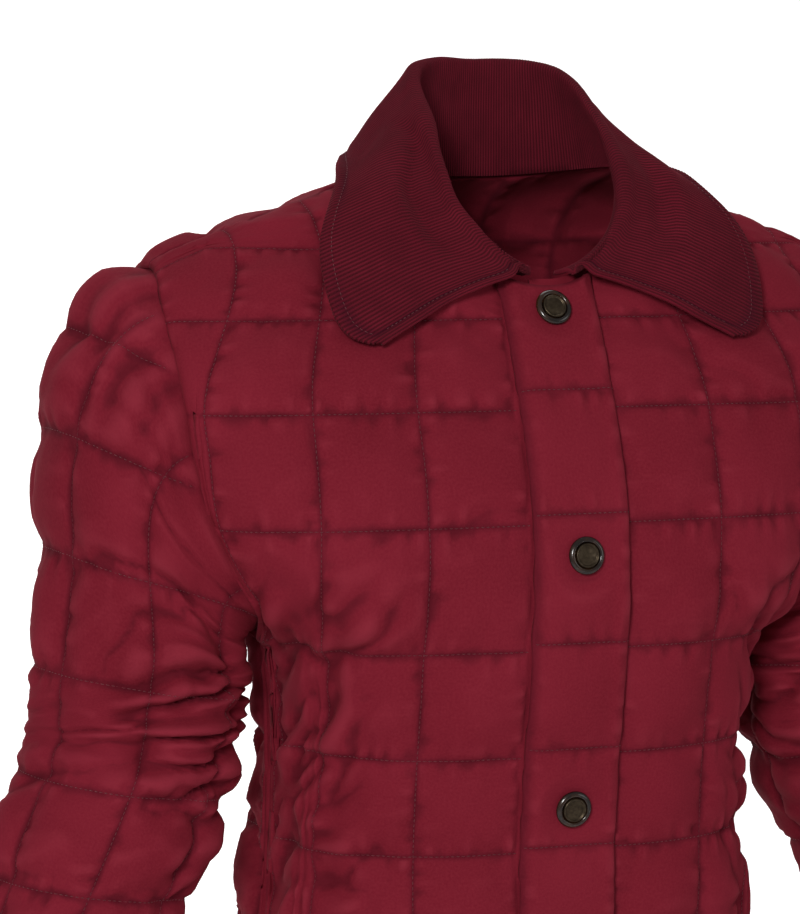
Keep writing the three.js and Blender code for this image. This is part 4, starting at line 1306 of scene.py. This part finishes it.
class JacketSettings(bpy.types.PropertyGroup):
    """Sizes and colours that change the look of the cloth, the sewing and the light."""
    cloth_thickness: bpy.props.FloatProperty(
        name="Cloth thickness", description="Thickness of the quilted cloth's outer layer",
        default=0.0024, precision=4, subtype="DISTANCE", unit="LENGTH")
    cloth_colour: bpy.props.FloatVectorProperty(
        name="Cloth", description="Darker of the quilted cloth's two dye shades",
        size=4, subtype="COLOR", default=linear("#791829"))
    corduroy_colour: bpy.props.FloatVectorProperty(
        name="Corduroy", description="Darker of the two shades on the corduroy's ribs",
        size=4, subtype="COLOR", default=linear("#660F22"))
    thread_colour: bpy.props.FloatVectorProperty(
        name="Thread", description="Colour of the sewing thread",
        size=4, subtype="COLOR", default=linear("#6A1826"))
    horn_colour: bpy.props.FloatVectorProperty(
        name="Snap rim", description="Darker colour in the streaks of the snap rims",
        size=4, subtype="COLOR", default=linear("#150B07"))
    brass_colour: bpy.props.FloatVectorProperty(
        name="Snap cap", description="Darker colour of the antiqued snap caps",
        size=4, subtype="COLOR", default=linear("#3A3025"))
    stitch_lift: bpy.props.FloatProperty(
        name="Stitch lift", description="How far the thread stands over the cloth",
        default=0.0001, subtype="DISTANCE", unit="LENGTH")
    light_power: bpy.props.FloatProperty(
        name="Light power", description="Power in watts from which each light's power is worked out",
        default=40.0)
    world_strength: bpy.props.FloatProperty(
        name="Room light", description="Strength of the even light round the jacket", default=0.24)


def sew(name, places):
    lift = bpy.context.scene.jacket.stitch_lift / MM
    return stitches_object(name, places, thread(), lift)


class JACKET_OT_body(bpy.types.Operator):
    """Build the two fronts and the back"""
    bl_idname = "jacket.body"
    bl_label = "Fronts and back"

    def execute(self, context):
        for name, sign, width, area in (("front_right", -1, 0.27, 0.165), ("front_left", 1, 0.32, 0.2)):
            piece, places = front_piece(f"quilted_{name}", sign)
            finish_piece(piece, cloth(), name)
            sew(f"stitches_{name}", places)
        piece, places = back_piece("quilted_back")
        finish_piece(piece, cloth(), "back")
        sew("stitches_back", places)
        return {"FINISHED"}


class JACKET_OT_strip(bpy.types.Operator):
    """Build the quilted front strip"""
    bl_idname = "jacket.strip"
    bl_label = "Front strip"

    def execute(self, context):
        piece, places = strip_piece("quilted_strip")
        finish_piece(piece, cloth(), "placket")
        sew("stitches_strip", places)
        return {"FINISHED"}


class JACKET_OT_sleeves(bpy.types.Operator):
    """Build both quilted sleeves"""
    bl_idname = "jacket.sleeves"
    bl_label = "Sleeves"

    def execute(self, context):
        for name, sign, seed in (("sleeve_right", -1, 111), ("sleeve_left", 1, 131)):
            piece, places = sleeve_piece(f"quilted_{name}", sign, seed)
            finish_piece(piece, cloth(), name)
            sew(f"stitches_{name}", places)
        return {"FINISHED"}


class JACKET_OT_collar(bpy.types.Operator):
    """Build the corduroy collar"""
    bl_idname = "jacket.collar"
    bl_label = "Collar"

    def execute(self, context):
        piece, places = collar_piece("corduroy_collar")
        finish_piece(piece, corduroy_material(context.scene.jacket), "collar")
        sew("stitches_collar", places)
        return {"FINISHED"}


class JACKET_OT_snaps(bpy.types.Operator):
    """Build the press snaps"""
    bl_idname = "jacket.snaps"
    bl_label = "Snaps"

    def execute(self, context):
        settings = context.scene.jacket
        horn = horn_material(settings)
        brass = brass_material(settings)
        for number in range(1, len(SNAP_HEIGHTS) + 1):
            centre, axis = snap_seat(number)
            rim = turned_object(f"horn_rim_{number}", RIM_PROFILE, centre, axis, horn)
            cap = turned_object(f"brass_cap_{number}", CAP_PROFILE, centre, axis, brass)
            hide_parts(f"snap_rim_{number}")
            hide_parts(f"snap_cap_{number}")
        return {"FINISHED"}


# The studio in metres: a floor that bends up into a wall
FLOOR_Z = -1.5
FLOOR_FRONT = -9.0
FLOOR_LENGTH = 16.0
SWEEP_BEND = 2.0
SWEEP_LENGTH = 27.0
SWEEP_HALF_WIDTH = 12.0
PAPER_SEEN_STRENGTH = 0.5
ROOM_SEEN_STRENGTH = 0.95

# Lights: name, place, what it points at, size, and how many times the set power it has
LIGHTS = [
    ("key_light", (-1.7, -2.7, 0.75), (0, 0, -0.25), 0.75, 1.22),
    ("fill_light", (2.2, -2.2, 0.3), (0, 0, -0.3), 1.6, 0.2),
    ("top_light", (0.3, 0.9, 1.9), (0, 0, -0.1), 1.4, 0.2),
    ("backdrop_light", (0.0, 4.5, 4.0), (0.5, 9.0, 0.0), 5.0, 8.0),
]

CAMERA_AZIMUTH = math.radians(-21.0)
CAMERA_ELEVATION = math.radians(5.0)
CAMERA_DISTANCE = 2.2
CAMERA_LENS = 165.0
CAMERA_SIDE_SHIFT = -0.057
CAMERA_DROP = -0.174


def area_light(name, place, target, size, power):
    light = bpy.data.lights.new(name, "AREA")
    light.shape = "DISK"
    light.size = size
    light.energy = power
    lamp = put_in_scene(name, light)
    lamp.location = place
    lamp.rotation_mode = "QUATERNION"
    lamp.rotation_quaternion = (Vector(target) - Vector(place)).to_track_quat("-Z", "Y")


def seen_strength(tree, lit, seen):
    """A strength of one value for the light given and another for what the camera sees."""
    by_camera = add(tree, "ShaderNodeLightPath").outputs["Is Camera Ray"]
    limits = {"From Min": 0.0, "From Max": 1.0, "To Min": lit, "To Max": seen}
    return add(tree, "ShaderNodeMapRange", {"Value": by_camera}, limits).outputs[0]


def paper_material():
    # Matt white background paper, which looks evenly pale without lighting the jacket from below
    material, tree, shader = new_material("Matt white studio paper")
    shader.inputs["Base Color"].default_value = linear("#F4F2F3")
    shader.inputs["Roughness"].default_value = 0.9
    shader.inputs["Emission Color"].default_value = linear("#F3F1F2")
    tree.links.new(seen_strength(tree, 0.0, PAPER_SEEN_STRENGTH), shader.inputs["Emission Strength"])
    return material


def studio_sweep():
    """A pale floor that turns up into a backdrop behind the jacket."""
    bm = bmesh.new()
    bmesh.ops.create_grid(bm, x_segments=2, y_segments=48, size=1.0)
    mesh = bpy.data.meshes.new("studio_sweep")
    quarter = SWEEP_BEND * math.pi / 2
    for vertex in bm.verts:
        along = (vertex.co.y + 1) / 2 * SWEEP_LENGTH
        turn = clamp((along - FLOOR_LENGTH) / quarter, 0, 1) * math.pi / 2
        climbed = max(0.0, along - FLOOR_LENGTH - quarter)
        y = FLOOR_FRONT + min(along, FLOOR_LENGTH) + SWEEP_BEND * math.sin(turn)
        z = FLOOR_Z + SWEEP_BEND * (1 - math.cos(turn)) + climbed
        vertex.co = (vertex.co.x * SWEEP_HALF_WIDTH, y, z)
    bm.to_mesh(mesh)
    bm.free()
    mesh.shade_smooth()
    mesh.materials.append(paper_material())
    put_in_scene("studio_sweep", mesh)


def light_the_room(tree, strength):
    """An even pale room, which looks brighter than the light that it gives."""
    background = tree.nodes["Background"]
    background.inputs["Color"].default_value = linear("#FFFCFB")
    tree.links.new(seen_strength(tree, strength, ROOM_SEEN_STRENGTH), background.inputs["Strength"])


class JACKET_OT_stage(bpy.types.Operator):
    """Build the studio, its lights and the camera"""
    bl_idname = "jacket.stage"
    bl_label = "Studio"

    def execute(self, context):
        settings = context.scene.jacket
        studio_sweep()
        world = bpy.data.worlds.new("Studio room")
        world.use_nodes = True
        light_the_room(world.node_tree, settings.world_strength)
        context.scene.world = world
        for name, place, target, size, share in LIGHTS:
            area_light(name, place, target, size, settings.light_power * share)
        camera = bpy.data.cameras.new("photo_camera")
        camera.sensor_fit = "HORIZONTAL"
        camera.sensor_width = 36.0
        camera.lens = CAMERA_LENS
        a, e = CAMERA_AZIMUTH, CAMERA_ELEVATION
        right = Vector((math.cos(a), math.sin(a), 0))
        back = Vector((math.sin(a) * math.cos(e), -math.cos(a) * math.cos(e), math.sin(e)))
        target = right * CAMERA_SIDE_SHIFT + back.cross(right) * CAMERA_DROP
        holder = put_in_scene("photo_camera", camera)
        holder.location = target + back * CAMERA_DISTANCE
        holder.rotation_mode = "QUATERNION"
        holder.rotation_quaternion = (-back).to_track_quat("-Z", "Y")
        context.scene.camera = holder
        context.scene.view_settings.view_transform = "Standard"
        return {"FINISHED"}


class JACKET_PT_panel(bpy.types.Panel):
    """Buttons that build the jacket and its studio"""
    bl_idname = "JACKET_PT_panel"
    bl_label = "Quilted jacket"
    bl_space_type = "VIEW_3D"
    bl_region_type = "UI"
    bl_category = "Jacket"

    def draw(self, context):
        settings = context.scene.jacket
        for name in JacketSettings.__annotations__:
            self.layout.prop(settings, name)
        for operator in OPERATORS:
            self.layout.operator(operator.bl_idname)


OPERATORS = (JACKET_OT_body, JACKET_OT_strip, JACKET_OT_sleeves, JACKET_OT_collar, JACKET_OT_snaps,
             JACKET_OT_stage)


def register():
    for item in (JacketSettings, *OPERATORS, JACKET_PT_panel):
        bpy.utils.register_class(item)
    bpy.types.Scene.jacket = bpy.props.PointerProperty(type=JacketSettings)


def unregister():
    del bpy.types.Scene.jacket
    for item in (JACKET_PT_panel, *reversed(OPERATORS), JacketSettings):
        bpy.utils.unregister_class(item)


def main():
    register()
    bpy.ops.jacket.body()
    bpy.ops.jacket.strip()
    bpy.ops.jacket.sleeves()
    bpy.ops.jacket.collar()
    bpy.ops.jacket.snaps()
    bpy.ops.jacket.stage()


if __name__ == "__main__":
    main()
